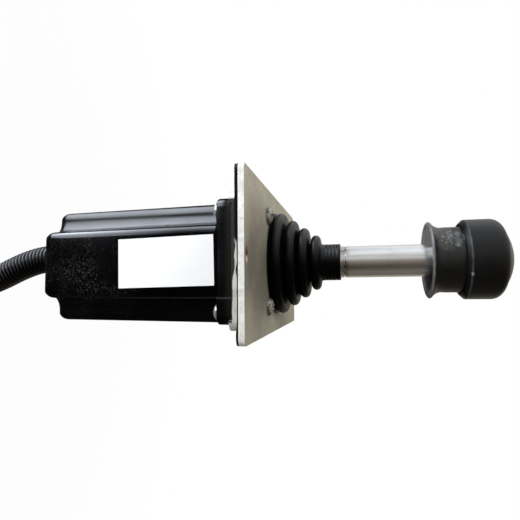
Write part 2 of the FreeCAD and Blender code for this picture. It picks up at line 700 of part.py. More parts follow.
def boot_side(inward):
    """One side of the boot's wall, from its lowest crest up to its highest, set in by an amount."""
    points = []
    tube = RING_TUBE_R - inward
    angle = math.radians(CREST_HALF_DEG)
    for k in range(RING_COUNT):
        centre = FIRST_RING_R - RING_STEP_R * k - RING_TUBE_R
        z = FIRST_RING_Z + RING_STEP_Z * k
        side = centre + tube * math.cos(angle)
        points.append((side, z - tube * math.sin(angle)))
        points.append((side, z + tube * math.sin(angle), centre + tube, z))
        if k < RING_COUNT - 1:
            valley = FIRST_RING_R - RING_STEP_R * (k + 1) - VALLEY_DEPTH - inward
            points.append((valley, z + RING_STEP_Z / 2))
    return points


def boot():
    """Rubber boot: a foot on the plate, a flange under it, four convolutions and a sleeve."""
    neck = PLATE_HOLE_R - SOFT_GAP
    flange_top = PLATE_Z - SOFT_GAP
    flange_low = flange_top - BOOT_FLANGE
    foot_low = FACE_Z + SOFT_GAP
    outside = [
        (BOOT_FLANGE_R, flange_low), (BOOT_FLANGE_R, flange_top), (neck, flange_top), (neck, foot_low),
        (BOOT_FOOT_R, foot_low), (BOOT_FOOT_R, foot_low + BOOT_FOOT),
    ]
    outside += boot_side(0)
    outside += [(SLEEVE_R, LAST_CREST_Z + SOFT_GAP), (SLEEVE_R, SLEEVE_TOP - SOFT_GAP),
                (SLEEVE_R - SOFT_GAP, SLEEVE_TOP)]
    inner_r = SHAFT_R + SOFT_GAP
    inside = [(inner_r, SLEEVE_TOP), (inner_r, LAST_CREST_Z)]
    back = list(reversed(boot_side(BOOT_WALL)))
    middles = [point[2:] for point in back]
    for i, point in enumerate(back):
        arc = middles[i - 1] if i > 0 else ()
        inside.append((point[0], point[1]) + arc)
    inside += [(neck - BOOT_WALL, foot_low + SOFT_GAP), (neck - BOOT_WALL, flange_low)]
    return revolved(outside + inside)


def housing_seal():
    outline = rounded_plate(FLANGE_SIDE, FLANGE_SIDE, FLANGE_CORNER, SEAL_Z, SEAL_THICK)
    cuts = [plus_body(WALL, FRAME_Z + 1, SEAL_Z - 1)]
    for x, y in corners(REAR_PITCH):
        cuts.append(rod(M4_R + HOLE_EASE, V(x, y, SEAL_Z - 1), V(x, y, FRAME_Z + 1)))
    return outline.cut(cuts)


def housing_shell():
    """Moulded cover: drafted plus-shaped tube with a rounded closed end and a screw flange."""
    cover = plus_body(0, FLANGE_Z, COVER_Z)
    rim = [e for e in cover.Edges if e.BoundBox.ZMax < COVER_Z + 0.01]
    cover = cover.makeFillet(COVER_EDGE, rim)
    flange = rounded_plate(FLANGE_SIDE, FLANGE_SIDE, FLANGE_CORNER, FLANGE_Z, FLANGE_THICK)
    rear_edge = [e for e in flange.Edges if e.BoundBox.ZMax < FLANGE_Z + 0.01]
    flange = flange.makeFillet(FLANGE_EDGE, rear_edge)
    shell = cover.fuse(flange)
    shell = shell.cut(plus_body(WALL, SEAL_Z + 1, CAVITY_Z))
    for x, y in corners(REAR_PITCH):
        shell = shell.cut(rod(M4_R + HOLE_EASE, V(x, y, FLANGE_Z - 1), V(x, y, SEAL_Z + 1)))
    outlet = rod(GLAND_THREAD_R + HOLE_EASE, V(OUTLET_X, 0, COVER_Z - 1), V(OUTLET_X, 0, CAVITY_Z + 1))
    return shell.cut(outlet).fuse(guide_ribs()).removeSplitter()


def lobe_wall(z):
    """Inner face of a lobe's end wall at a level."""
    return LOBE_REACH - WALL - (FLANGE_Z - z) * math.tan(math.radians(DRAFT_DEG))


def guide_ribs():
    """Two ribs on each Y lobe, with the board's edge between them and a stop under it."""
    ribs = []
    inner = lobe_wall(BOARD_LOW) - RIB_HIGH
    outer = lobe_wall(BOARD_LOW) + WALL - RIB_SINK
    for side in (-1, 1):
        y = side * (inner + outer) / 2
        for face in (-1, 1):
            x = BOARD_X + face * (BOARD_THICK / 2 + SLIP + RIB_WIDE / 2)
            ribs.append(box(RIB_WIDE, outer - inner, BOARD_HIGH - CAVITY_Z, x, y, CAVITY_Z))
        ribs.append(box(BOARD_THICK + 2 * SLIP, outer - inner, BOARD_END_GAP, BOARD_X, y, CAVITY_Z))
    return ribs


def circuit_board():
    half = lobe_wall(BOARD_LOW) - FREE_GAP
    board = box(BOARD_THICK, 2 * half, BOARD_LONG, BOARD_X, 0, BOARD_LOW)
    for side in (-1, 1):
        hole = V(BOARD_X, side * (half - BOARD_HOLE_IN), BOARD_HIGH - BOARD_HOLE_DOWN)
        board = board.cut(rod(BOARD_HOLE_R, hole - V(BOARD_THICK, 0, 0), hole + V(BOARD_THICK, 0, 0)))
    return board


def board_components():
    """Header, two relays, two capacitors and a row of drivers, soldered to the board."""
    face = BOARD_X + BOARD_THICK / 2
    back = BOARD_X - BOARD_THICK / 2
    room = LOBE_HALF - WALL - SHRINK - FREE_GAP
    solids = [box(HEADER_HIGH, HEADER_WIDE, HEADER_LONG, back - HEADER_HIGH / 2, 0, BOARD_LOW + HEADER_UP)]
    for side in (-1, 1):
        solids.append(box(RELAY_HIGH, RELAY_WIDE, RELAY_LONG, face + RELAY_HIGH / 2, side * RELAY_OUT,
                          BOARD_LOW + RELAY_UP))
        foot = V(face, side * CAPACITOR_OUT, BOARD_LOW + CAPACITOR_UP)
        solids.append(rod(CAPACITOR_R, foot, foot + V(room - face, 0, 0)))
    for k in (-1, 0, 1):
        solids.append(box(DRIVER_HIGH, DRIVER_WIDE, DRIVER_LONG, face + DRIVER_HIGH / 2, k * DRIVER_PITCH,
                          BOARD_LOW + DRIVER_UP))
    return solids


def housing_screws():
    screw = pan_screw(M4_R, M4_HEAD_R, M4_HEAD_HIGH, REAR_SCREW_LONG)
    return [aimed(screw, V(x, y, FLANGE_Z), DOWN) for x, y in corners(REAR_PITCH)]


def bracket_holes():
    return [(sx * BRACKET_SCREW_X, sy * BRACKET_SCREW_Y) for sx in (-1, 1) for sy in (-1, 1)]


def mechanism_bracket():
    """A strip bent to a U under the mechanism, with a wide tab at each end."""
    t = BRACKET_THICK
    outer = arch(BRACKET_ARM + t, BRACKET_Z, FRAME_Z, BRACKET_BEND, BRACKET_WIDE)
    inner = arch(BRACKET_ARM, BRACKET_Z + t, FRAME_Z + 1, BRACKET_BEND - t, BRACKET_WIDE + 2)
    strip = outer.cut(inner)
    strip.rotate(V(0, 0, 0), UP, 90)
    wide = BRACKET_TAB - BRACKET_ARM
    for side in (-1, 1):
        strip = strip.fuse(box(2 * BRACKET_TAB_HALF, wide, t, 0, side * (BRACKET_ARM + wide / 2), FRAME_Z - t))
    for x, y in bracket_holes():
        strip = strip.cut(rod(M3_R + HOLE_EASE, V(x, y, FRAME_Z - t - 1), V(x, y, FRAME_Z + 1)))
    return strip.cut(rod(DRAIN_R, V(0, 0, BRACKET_Z - 1), V(0, 0, BRACKET_Z + t + 1))).removeSplitter()


def bracket_screws():
    screw = pan_screw(M3_R, M3_HEAD_R, M3_HEAD_HIGH, BRACKET_SCREW_LONG - 1)
    return [aimed(screw, V(x, y, FRAME_Z - BRACKET_THICK), DOWN) for x, y in bracket_holes()]


def lock_cup():
    """Hardened cup that takes the lock rod's tip."""
    base = BRACKET_Z + BRACKET_THICK
    top = base + CUP_HIGH
    hole = ROD_R + FREE_GAP
    return revolved([
        (0, base), (CUP_R, base), (CUP_R, top - CUP_EDGE), (CUP_R - CUP_EDGE, top),
        (hole + CUP_EDGE, top), (hole, top - CUP_EDGE), (hole, base + CUP_FLOOR), (0, base + CUP_FLOOR),
    ])


def blank_label():
    """Plain sticker on the near lobe, leaning with the draft."""
    lean = math.radians(DRAFT_DEG)
    label = box(LABEL_WIDE, LABEL_THICK, LABEL_LONG, 0, -LABEL_THICK / 2, -LABEL_LONG)
    label.rotate(V(0, 0, 0), V(1, 0, 0), DRAFT_DEG)
    start = LABEL_FROM_FLANGE
    label.translate(V(0, -LOBE_REACH + start * math.tan(lean), FLANGE_Z - start))
    return label


def conduit_gland():
    """Bushing through the end wall: an outer collar, a threaded barrel and a bore for the wires."""
    inside = CAVITY_Z + LOCKNUT_THICK + GLAND_PAST_NUT
    return revolved([
        (GLAND_BORE_R, GLAND_Z), (GLAND_R - GLAND_EDGE, GLAND_Z), (GLAND_R, GLAND_Z + GLAND_EDGE),
        (GLAND_R, COVER_Z), (GLAND_THREAD_R, COVER_Z), (GLAND_THREAD_R, inside), (GLAND_BORE_R, inside),
    ]).translated(V(OUTLET_X, 0, 0))


def gland_locknut():
    nut = hexagon(LOCKNUT_FLATS / 2 / math.cos(math.radians(30)), CAVITY_Z).extrude(UP * LOCKNUT_THICK)
    nut = nut.cut(rod(GLAND_THREAD_R + SLIP, V(0, 0, CAVITY_Z - 1), V(0, 0, CAVITY_Z + LOCKNUT_THICK + 1)))
    return nut.translated(V(OUTLET_X, 0, 0))


def conduit_route():
    """Points of the hanging conduit: each turn is (towards +X, towards +Y) in degrees."""
    point = V(OUTLET_X, 0, GLAND_Z)
    lean_x = 0.0
    lean_y = 0.0
    points = [point]
    for k, run in enumerate(RUNS):
        if k > 0:
            lean_x += TURNS[k - 1][0]
            lean_y += TURNS[k - 1][1]
        ax = math.radians(lean_x)
        ay = math.radians(lean_y)
        step = V(math.sin(ax), math.sin(ay), -math.cos(ax))
        step.normalize()
        point = point + step * run
        points.append(point)
    return points


def conduit():
    """The conduit's outer tube, straight runs joined by tangent arcs, filled solid."""
    points = conduit_route()
    edges = []
    last = points[0]
    for i in range(1, len(points) - 1):
        back = points[i - 1] - points[i]
        ahead = points[i + 1] - points[i]
        half_turn = (math.pi - back.getAngle(ahead)) / 2
        reach = 0.45 * min(back.Length, ahead.Length)
        radius = reach / math.tan(half_turn)
        print("conduit turn", i, "radius", round(radius, 1))
        back.normalize()
        ahead.normalize()
        start = points[i] + back * reach
        end = points[i] + ahead * reach
        middle = back + ahead
        middle.normalize()
        crown = points[i] + middle * (radius / math.cos(half_turn) - radius)
        edges.append(Part.LineSegment(last, start).toShape())
        edges.append(Part.Arc(start, crown, end).toShape())
        last = end
    edges.append(Part.LineSegment(last, points[-1]).toShape())
    path = Part.Wire(edges)
    section = Part.Wire(Part.Circle(points[0], points[1] - points[0], CONDUIT_R).toShape())
    tube = path.makePipeShell([section], True, False)
    ideal = math.pi * CONDUIT_R ** 2 * path.Length
    print("conduit length", round(path.Length, 1), "volume ratio", round(tube.Volume / ideal, 5))
    return tube


def conduit_end():
    points = conduit_route()
    along = points[-1] - points[-2]
    along.normalize()
    return points[-1], along


def harness_plug():
    """Wiring connector: a round back shell and a rectangular body with finger grips."""
    nose_corner = PLUG_CORNER - PLUG_STEP / 3
    body = rounded_plate(PLUG_WIDE, PLUG_DEEP, PLUG_CORNER, PLUG_COLLAR_LONG, PLUG_LONG)
    nose = rounded_plate(PLUG_WIDE - 2 * PLUG_STEP, PLUG_DEEP - 2 * PLUG_STEP, nose_corner,
                         PLUG_COLLAR_LONG + PLUG_LONG, PLUG_NOSE)
    shell = revolved([
        (0, 0), (PLUG_COLLAR_R, 0), (PLUG_COLLAR_R, PLUG_COLLAR_LONG - PLUG_COLLAR_TAPER),
        (PLUG_DEEP / 2, PLUG_COLLAR_LONG), (0, PLUG_COLLAR_LONG)])
    grips = []
    for k in range(GRIP_COUNT):
        z = PLUG_COLLAR_LONG + GRIP_UP + GRIP_PITCH * k
        grips.append(box(PLUG_WIDE + 2 * GRIP_PROUD, PLUG_DEEP - 4 * PLUG_STEP, GRIP_WIDE, 0, 0, z))
    place, along = conduit_end()
    return aimed(body.fuse([shell, nose] + grips).removeSplitter(), place, along)


def plug_latch():
    """Spring tongue on the connector's side, with a tooth at its free end."""
    start = PLUG_COLLAR_LONG + LATCH_UP
    long = PLUG_LONG - LATCH_SHORT
    seat = PLUG_DEEP / 2 + SLIP
    tongue = box(LATCH_WIDE, LATCH_THICK, long, 0, seat + LATCH_THICK / 2, start)
    thick = LATCH_THICK + LATCH_TOOTH
    tooth = box(LATCH_WIDE, thick, LATCH_TOOTH_LONG, 0, seat + thick / 2, start + long - LATCH_TOOTH_LONG)
    place, along = conduit_end()
    return aimed(tongue.fuse(tooth).removeSplitter(), place, along)


def save(name, shape):
    """Writes one node; a list becomes a group of separate solids."""
    shape = Part.Compound(shape) if isinstance(shape, list) else shape
    solids = len(shape.Solids)
    print(f"{name:20s} {solids} solid(s) volume {shape.Volume:10.1f} valid {shape.isValid()}")
    shape.exportStep(f"parts/{name}.step")


def main():
    os.makedirs("parts", exist_ok=True)
    save("front_plate", front_plate())
    save("plate_gasket", plate_gasket())
    save("plate_screws", plate_screws())
    save("pivot_frame", pivot_frame())
    save("trunnion_bushes", trunnion_bushes())
    save("gimbal_sensor", axis_sensor(V(0, 1, 0)))
    save("bail_sensor", axis_sensor(V(1, 0, 0)))
    save("gimbal_ring", gimbal_ring())
    save("lever_pins", lever_pins())
    save("sensor_bail", sensor_bail())
    save("gimbal_spring", torsion_spring(V(0, -1, 0)))
    save("bail_spring", torsion_spring(V(-1, 0, 0)))
    save("lever_shaft", lever_shaft())
    save("lock_rod", lock_rod())
    save("lift_pin", lift_pin())
    save("lift_collar", lift_collar())
    save("collar_spring", collar_spring())
    save("knob_cap", knob_cap())
    save("cap_insert", cap_insert())
    save("cap_screw", cap_screw())
    save("boot", boot())
    save("housing_seal", housing_seal())
    save("housing_shell", housing_shell())
    save("housing_screws", housing_screws())
    save("mechanism_bracket", mechanism_bracket())
    save("bracket_screws", bracket_screws())
    save("lock_cup", lock_cup())
    save("circuit_board", circuit_board())
    save("board_components", board_components())
    save("blank_label", blank_label())
    save("conduit_gland", conduit_gland())
    save("gland_locknut", gland_locknut())
    save("conduit", conduit())
    save("harness_plug", harness_plug())
    save("plug_latch", plug_latch())


main()
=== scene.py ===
import bpy
import bmesh
import json
import math
from mathutils import Matrix, Vector, noise


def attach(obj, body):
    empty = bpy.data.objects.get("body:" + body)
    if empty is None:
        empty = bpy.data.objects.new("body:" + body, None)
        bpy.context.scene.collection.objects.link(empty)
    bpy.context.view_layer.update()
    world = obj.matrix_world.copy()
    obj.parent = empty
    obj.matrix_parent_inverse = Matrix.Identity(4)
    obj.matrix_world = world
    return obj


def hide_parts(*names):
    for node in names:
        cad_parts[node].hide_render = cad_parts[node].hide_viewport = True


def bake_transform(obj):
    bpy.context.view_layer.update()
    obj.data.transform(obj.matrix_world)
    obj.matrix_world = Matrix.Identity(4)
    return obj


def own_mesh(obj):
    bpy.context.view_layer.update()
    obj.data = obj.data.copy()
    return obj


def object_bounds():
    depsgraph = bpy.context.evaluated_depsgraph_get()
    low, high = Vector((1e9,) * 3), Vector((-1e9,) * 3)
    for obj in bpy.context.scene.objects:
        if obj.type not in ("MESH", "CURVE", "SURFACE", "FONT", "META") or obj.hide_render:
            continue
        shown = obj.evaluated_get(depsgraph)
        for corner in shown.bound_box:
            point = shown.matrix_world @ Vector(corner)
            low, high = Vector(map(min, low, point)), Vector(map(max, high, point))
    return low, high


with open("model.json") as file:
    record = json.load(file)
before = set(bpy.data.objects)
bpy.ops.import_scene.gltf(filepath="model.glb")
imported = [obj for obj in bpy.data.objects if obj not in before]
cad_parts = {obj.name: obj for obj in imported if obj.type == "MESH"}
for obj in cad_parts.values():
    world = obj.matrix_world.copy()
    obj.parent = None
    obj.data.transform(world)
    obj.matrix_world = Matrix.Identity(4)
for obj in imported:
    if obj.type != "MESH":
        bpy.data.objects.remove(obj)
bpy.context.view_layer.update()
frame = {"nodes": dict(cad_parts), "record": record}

MM = 0.001
NODES = frame["nodes"]


def add_object(name, data):
    """A new object, put into the scene."""
    made = bpy.data.objects.new(name, data)
    bpy.context.scene.collection.objects.link(made)
    return made


# ---------------------------------------------------------------- camera and cord
def make_camera():
    """The photograph's own view: it lies on its side, with the lever to the right."""
    right = Vector((0.00757, 0.21330, 0.97696)).normalized()
    down = Vector((0.99757, 0.06610, -0.02216))
    down = (down - right * down.dot(right)).normalized()
    forward = right.cross(down)
    data = bpy.data.cameras.new("camera")
    data.sensor_width = 36.0
    data.lens = 29.445
    data.clip_start = 0.01
    data.clip_end = 20.0
    camera = add_object("camera", data)
    turn = Matrix((right, -down, -forward)).transposed()
    camera.matrix_world = Matrix.Translation(Vector((0.01377, -0.22186, 0.04323))) @ turn.to_4x4()
    bpy.context.scene.camera = camera


make_camera()

# The conduit's way from the gland to the plug, in metres
ROUTE = [
    (-0.00620, 0.00000, -0.11790),
    (-0.00620, 0.00000, -0.13190),
    (-0.00277, 0.00000, -0.14957),
    (0.00817, 0.00098, -0.17533),
    (0.01714, 0.00376, -0.21421),
    (0.02367, 0.00463, -0.26377),
    (0.02672, 0.00289, -0.31365),
    (0.02759, 0.00202, -0.36363),
    (0.02721, 0.00278, -0.40763),
]
CONDUIT_R = 7.9 * MM
CONDUIT_PITCH = 2.4 * MM
CONDUIT_DEEP = 1.35 * MM                 # from a rib's crest to the valley


def smooth_line(points):
    """The route's NURBS spline, read back as points."""
    curve = bpy.data.curves.new("route", "CURVE")
    curve.dimensions = "3D"
    spline = curve.splines.new("NURBS")
    spline.points.add(len(points) - 1)
    for point, place in zip(spline.points, points):
        point.co = (*place, 1.0)
    spline.order_u = 3
    spline.use_endpoint_u = True
    spline.resolution_u = 24
    holder = add_object("route", curve)
    mesh = evaluated_mesh(holder)
    line = [v.co.copy() for v in mesh.vertices]
    bpy.data.objects.remove(holder)
    bpy.data.curves.remove(curve)
    bpy.data.meshes.remove(mesh)
    return line


def even_line(points, step):
    """The same line with points a step apart, and its length."""
    lengths = [0.0]
    for a, b in zip(points, points[1:]):
        lengths.append(lengths[-1] + (b - a).length)
    count = max(2, round(lengths[-1] / step))
    out = []
    k = 0
    for i in range(count + 1):
        want = lengths[-1] * i / count
        while k < len(points) - 2 and lengths[k + 1] < want:
            k += 1
        span = max(lengths[k + 1] - lengths[k], 1e-9)
        out.append(points[k].lerp(points[k + 1], (want - lengths[k]) / span))
    return out, lengths[-1]


# ---------------------------------------------------------------- mesh helpers
def evaluated_mesh(holder):
    """The object's mesh as its spline or its modifiers make it."""
    graph = bpy.context.evaluated_depsgraph_get()
    return bpy.data.meshes.new_from_object(holder.evaluated_get(graph))


def shade(mesh, sharp_deg):
    """Smooth shading, with sharp edges above an angle."""
    mesh.shade_smooth()
    mesh.set_sharp_from_angle(angle=math.radians(sharp_deg))


def new_object(name, verts, faces, smooth_deg=32.0):
    """A piece from points in metres and faces, its normals turned outwards."""
    mesh = bpy.data.meshes.new(name)
    mesh.from_pydata([tuple(v) for v in verts], [], faces)
    mesh.validate()
    tidy = bmesh.new()
    tidy.from_mesh(mesh)
    bmesh.ops.recalc_face_normals(tidy, faces=tidy.faces)
    tidy.to_mesh(mesh)
    tidy.free()
    shade(mesh, smooth_deg)
    return add_object(name, mesh)


def skin(loops):
    """Faces between stacked loops of vertex numbers, closed at both ends."""
    faces = []
    for low, high in zip(loops, loops[1:]):
        for i in range(len(low)):
            j = (i + 1) % len(low)
            faces.append((low[i], low[j], high[j], high[i]))
    return faces + [tuple(reversed(loops[0])), tuple(loops[-1])]


def arc(cx, cz, radius, from_deg, to_deg, count):
    """Points (r, z) along an arc, in millimetres."""
    out = []
    for i in range(count + 1):
        a = math.radians(from_deg + (to_deg - from_deg) * i / count)
        out.append((cx + radius * math.cos(a), cz + radius * math.sin(a)))
    return out


def bent(first, middle, last, count):
    """Points on the circle through three points, the first one left out."""
    (ax, ay), (bx, by), (cx, cy) = first, middle, last
    d = 2 * (ax * (by - cy) + bx * (cy - ay) + cx * (ay - by))
    a2, b2, c2 = ax * ax + ay * ay, bx * bx + by * by, cx * cx + cy * cy
    ux = (a2 * (by - cy) + b2 * (cy - ay) + c2 * (ay - by)) / d
    uy = (a2 * (cx - bx) + b2 * (ax - cx) + c2 * (bx - ax)) / d
    radius = math.hypot(ax - ux, ay - uy)
    start = math.atan2(ay - uy, ax - ux)
    sweep = math.atan2(cy - uy, cx - ux) - start
    sweep = (sweep + math.pi) % (2 * math.pi) - math.pi
    turns = [start + sweep * k / count for k in range(1, count + 1)]
    return [(ux + radius * math.cos(a), uy + radius * math.sin(a)) for a in turns]


def lathe(name, profile, segments=96, closed=True, shift=None, smooth_deg=32.0):
    """Turns a profile of (r, z) in millimetres about Z. shift(r, z, angle) may move a point."""
    rings = []
    verts = []
    for r, z in profile:
        if r < 1e-6:
            rings.append([len(verts)])
            verts.append(Vector((0, 0, z)) * MM)
            continue
        ring = []
        for i in range(segments):
            a = 2 * math.pi * i / segments
            rr, zz = shift(r, z, a) if shift else (r, z)
            ring.append(len(verts))
            verts.append(Vector((rr * math.cos(a), rr * math.sin(a), zz)) * MM)
        rings.append(ring)
    faces = []
    pairs = list(zip(rings, rings[1:]))
    if closed:
        pairs.append((rings[-1], rings[0]))
    for low, high in pairs:
        if len(low) == 1 and len(high) == 1:
            continue
        for i in range(segments):
            j = (i + 1) % segments
            if len(low) == 1:
                faces.append((low[0], high[j], high[i]))
            elif len(high) == 1:
                faces.append((low[i], low[j], high[0]))
            else:
                faces.append((low[i], low[j], high[j], high[i]))
    return new_object(name, verts, faces, smooth_deg)


def tube(name, line, radius_at, segments=28):
    """A closed tube along a line; radius_at(distance) gives its radius."""
    verts, loops = [], []
    side = Vector((1, 0, 0))
    run = 0.0
    for k, here in enumerate(line):
        ahead = line[min(k + 1, len(line) - 1)] - line[max(k - 1, 0)]
        ahead.normalize()
        side = (side - ahead * side.dot(ahead)).normalized()
        other = ahead.cross(side)
        if k:
            run += (here - line[k - 1]).length
        radius = radius_at(run)
        loops.append([len(verts) + i for i in range(segments)])
        for i in range(segments):
            a = 2 * math.pi * i / segments
            verts.append(here + (side * math.cos(a) + other * math.sin(a)) * radius)
    return new_object(name, verts, skin(loops), 40.0)


def refined(node, bevel_mm, sharp_deg=30.0):
    """A copy of a CAD node with its flat faces made whole and its sharp edges eased."""
    source = NODES[node]
    mesh = source.data.copy()
    work = bmesh.new()
    work.from_mesh(mesh)
    bmesh.ops.remove_doubles(work, verts=work.verts, dist=2e-6)
    bmesh.ops.dissolve_limit(work, angle_limit=math.radians(0.4), verts=work.verts, edges=work.edges)
    bmesh.ops.recalc_face_normals(work, faces=work.faces)
    work.to_mesh(mesh)
    work.free()
    mesh.materials.clear()
    shade(mesh, sharp_deg)
    piece = add_object(node + "_dressed", mesh)
    piece.matrix_world = source.matrix_world.copy()
    bevel = piece.modifiers.new("eased", "BEVEL")
    bevel.width = bevel_mm * MM
    bevel.segments = 2
    bevel.limit_method = "ANGLE"
    bevel.angle_limit = math.radians(sharp_deg)
    bevel.use_clamp_overlap = True
    bevel.harden_normals = True
    return piece


def finish_piece(piece, body, slot, *nodes):
    """The piece's material, the body it rides on and the CAD nodes it replaces."""
    piece.data.materials.clear()
    piece.data.materials.append(MATERIALS[slot])
    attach(piece, body)
    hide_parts(*nodes)
    return piece


# ---------------------------------------------------------------- materials
class Tree:
    """Short calls for building a node tree."""

    def __init__(self, tree):
        self.tree = tree

    def link(self, value, socket):
        """Joins a socket to another, or sets a constant on it."""
        if isinstance(value, bpy.types.NodeSocket):
            self.tree.links.new(value, socket)
        else:
            socket.default_value = value

    def add(self, kind, inputs=None, **settings):
        node = self.tree.nodes.new(kind)
        for key, value in settings.items():
            setattr(node, key, value)
        for key, value in (inputs or {}).items():
            self.link(value, node.inputs[key])
        return node

    def span(self, value, low, high, to_low=0.0, to_high=1.0):
        """Maps low..high to to_low..to_high, clamped."""
        return self.add("ShaderNodeMapRange", {
            "Value": value, "From Min": low, "From Max": high,
            "To Min": to_low, "To Max": to_high}).outputs["Result"]

    def math(self, operation, a, b=0.5):
        return self.add("ShaderNodeMath", {0: a, 1: b}, operation=operation).outputs["Value"]

    def product(self, *values):
        """The values multiplied from left to right."""
        out = values[0]
        for value in values[1:]:
            out = self.math("MULTIPLY", out, value)
        return out

    def blend(self, factor, first, second):
        """The first colour at factor 0, the second at 1."""
        first, second = [(*c, 1.0) if isinstance(c, tuple) else c for c in (first, second)]
        return self.add("ShaderNodeMix", {0: factor, 6: first, 7: second}, data_type="RGBA").outputs[2]

    def mix_shaders(self, factor, first, second):
        return self.add("ShaderNodeMixShader", {0: factor, 1: first, 2: second}).outputs[0]

    def seen_directly(self):
        """1 for what the camera sees by itself or through glass."""
        path = self.add("ShaderNodeLightPath").outputs
        return self.math("MAXIMUM", path["Is Camera Ray"], path["Is Transmission Ray"])


class Shade(Tree):
    """A node material in the object's own coordinates, in metres."""

    def __init__(self, name, **values):
        self.material = bpy.data.materials.new(name)
        self.material.use_nodes = True
        super().__init__(self.material.node_tree)
        self.bsdf = self.tree.nodes["Principled BSDF"]
        for key, value in values.items():
            self.bsdf.inputs[key.replace("_", " ")].default_value = value
        self.place = self.add("ShaderNodeTexCoord").outputs["Object"]

    def set(self, key, socket):
        self.tree.links.new(socket, self.bsdf.inputs[key])

    def coat(self, base, colour, *masks):
        """The base with another colour over it where the masks' product is 1."""
        return self.blend(self.product(*masks), base, colour)

    def stretched(self, x, y, z):
        return self.add("ShaderNodeMapping", {"Vector": self.place, "Scale": (x, y, z)}).outputs["Vector"]

    def noise(self, scale, detail=3.0, rough=0.55, where=None, distort=0.0):
        return self.add("ShaderNodeTexNoise", {
            "Vector": where or self.place, "Scale": scale, "Detail": detail, "Roughness": rough,
            "Distortion": distort}).outputs["Fac"]

    def cells(self, scale, feature="F1", spread=1.0):
        return self.add("ShaderNodeTexVoronoi", {
            "Vector": self.place, "Scale": scale, "Randomness": spread}, feature=feature).outputs["Distance"]

    def axis(self, letter):
        return self.add("ShaderNodeSeparateXYZ", {"Vector": self.place}).outputs[letter]

    def facing(self, letter):
        """How far the surface faces along an axis."""
        normal = self.add("ShaderNodeNewGeometry").outputs["Normal"]
        return self.add("ShaderNodeSeparateXYZ", {"Vector": normal}).outputs[letter]

    def size_of(self, value):
        return self.math("ABSOLUTE", value, 0.0)

    def inverse(self, value):
        return self.math("SUBTRACT", 1.0, value)

    def wobble(self, scale, detail, reach):
        """Noise about zero, of a reach in metres."""
        return self.product(self.math("SUBTRACT", self.noise(scale, detail), 0.5), reach)

    def near(self, letter, level, reach):
        """1 at a level of an axis, 0 further off than reach, in metres."""
        off = self.size_of(self.math("SUBTRACT", self.axis(letter), level))
        return self.span(off, 0.0, reach, 1.0, 0.0)

    def distance(self, place):
        """How far the surface is from a place, in metres."""
        inputs = {0: self.place, 1: place}
        return self.add("ShaderNodeVectorMath", inputs, operation="DISTANCE").outputs["Value"]

    def spot(self, place, radius):
        """1 in the middle of a spot, 0 outside its radius, in metres."""
        return self.span(self.distance(place), radius * 0.5, radius, 1.0, 0.0)

    def bump(self, *layers):
        """Each layer is (height socket, depth in millimetres)."""
        normal = None
        for height, depth in layers:
            node = self.add("ShaderNodeBump", {"Height": height, "Distance": depth * MM, "Strength": 1.0})
            if normal is not None:
                self.tree.links.new(normal, node.inputs["Normal"])
            normal = node.outputs["Normal"]
        self.set("Normal", normal)


# Places and depths in the materials are in metres, in the part's own frame
FACE = 0.0037                            # the plate's outer face
SCREW_AT = 0.022                         # the plate's screws, each way from the middle


def gloss_black(name="moulded_gloss"):
    """Glossy on the cover and the conduit, duller on the flange, with grains of dust."""
    s = Shade(name, Specular_IOR_Level=0.7)
    flange = s.span(s.axis("Z"), -0.0203, -0.0198)
    cloud = s.noise(55, 4, 0.6)
    grains = s.product(s.span(s.cells(620), 0.10, 0.24, 1.0, 0.0), s.span(s.noise(150, 3), 0.50, 0.64))
    fine = s.product(s.span(s.noise(1300, 3, 0.75), 0.52, 0.68), s.span(s.noise(48, 3), 0.38, 0.66))
    dust = s.math("ADD", s.product(grains, 0.24), s.product(fine, 0.24))
    dust = s.product(dust, s.span(s.spot((0.004, -0.030, -0.090), 0.034), 0.0, 0.6, 0.10, 1.1))
    base = s.blend(flange, (0.0006, 0.0006, 0.0009), (0.0007, 0.0006, 0.0009))
    # painted highlight: a faint pale line along the near lobe's lower rounded edge
    edge_highlight = s.product(s.near("X", 0.0176, 0.0007), s.span(s.axis("Y"), -0.0235, -0.0250))
    base = s.coat(base, (0.042, 0.042, 0.044), edge_highlight, s.span(s.noise(90, 4), 0.30, 0.60, 0.35, 0.85))
    s.set("Base Color", s.coat(base, (0.16, 0.155, 0.145), dust))
    gloss = s.span(cloud, 0.3, 0.75, 0.13, 0.27)
    cover = s.inverse(flange)
    far = s.product(s.span(s.axis("Y"), -0.0235, -0.0200), s.span(s.axis("X"), 0.0, -0.004), cover)
    gloss = s.math("ADD", gloss, s.product(far, 0.13))
    s.set("Roughness", s.math("ADD", gloss, s.product(flange, 0.08)))
    corner = s.product(s.span(s.axis("Y"), -0.024, -0.0265), s.span(s.axis("Z"), -0.090, -0.040), cover)
    facing = s.product(s.span(s.facing("Y"), -0.80, -0.97), s.span(s.axis("Y"), -0.022, -0.026))
    level = s.math("SUBTRACT", s.span(corner, 0.0, 1.0, 0.75, 0.38), s.product(facing, 0.34))
    shiny = s.product(s.span(s.axis("Y"), -0.022, -0.025), s.span(s.axis("Z"), -0.065, -0.100, 0.0, 0.7))
    shiny = s.product(shiny, s.span(facing, 0.0, 0.5, 1.0, 0.0))
    s.set("Specular IOR Level", s.math("ADD", level, shiny))
    streak = s.noise(160, 3, 0.5, s.stretched(1, 1, 0.12))
    s.bump((s.noise(240, 2, 0.5), 0.010), (streak, 0.010), (grains, 0.010))
    return s.material


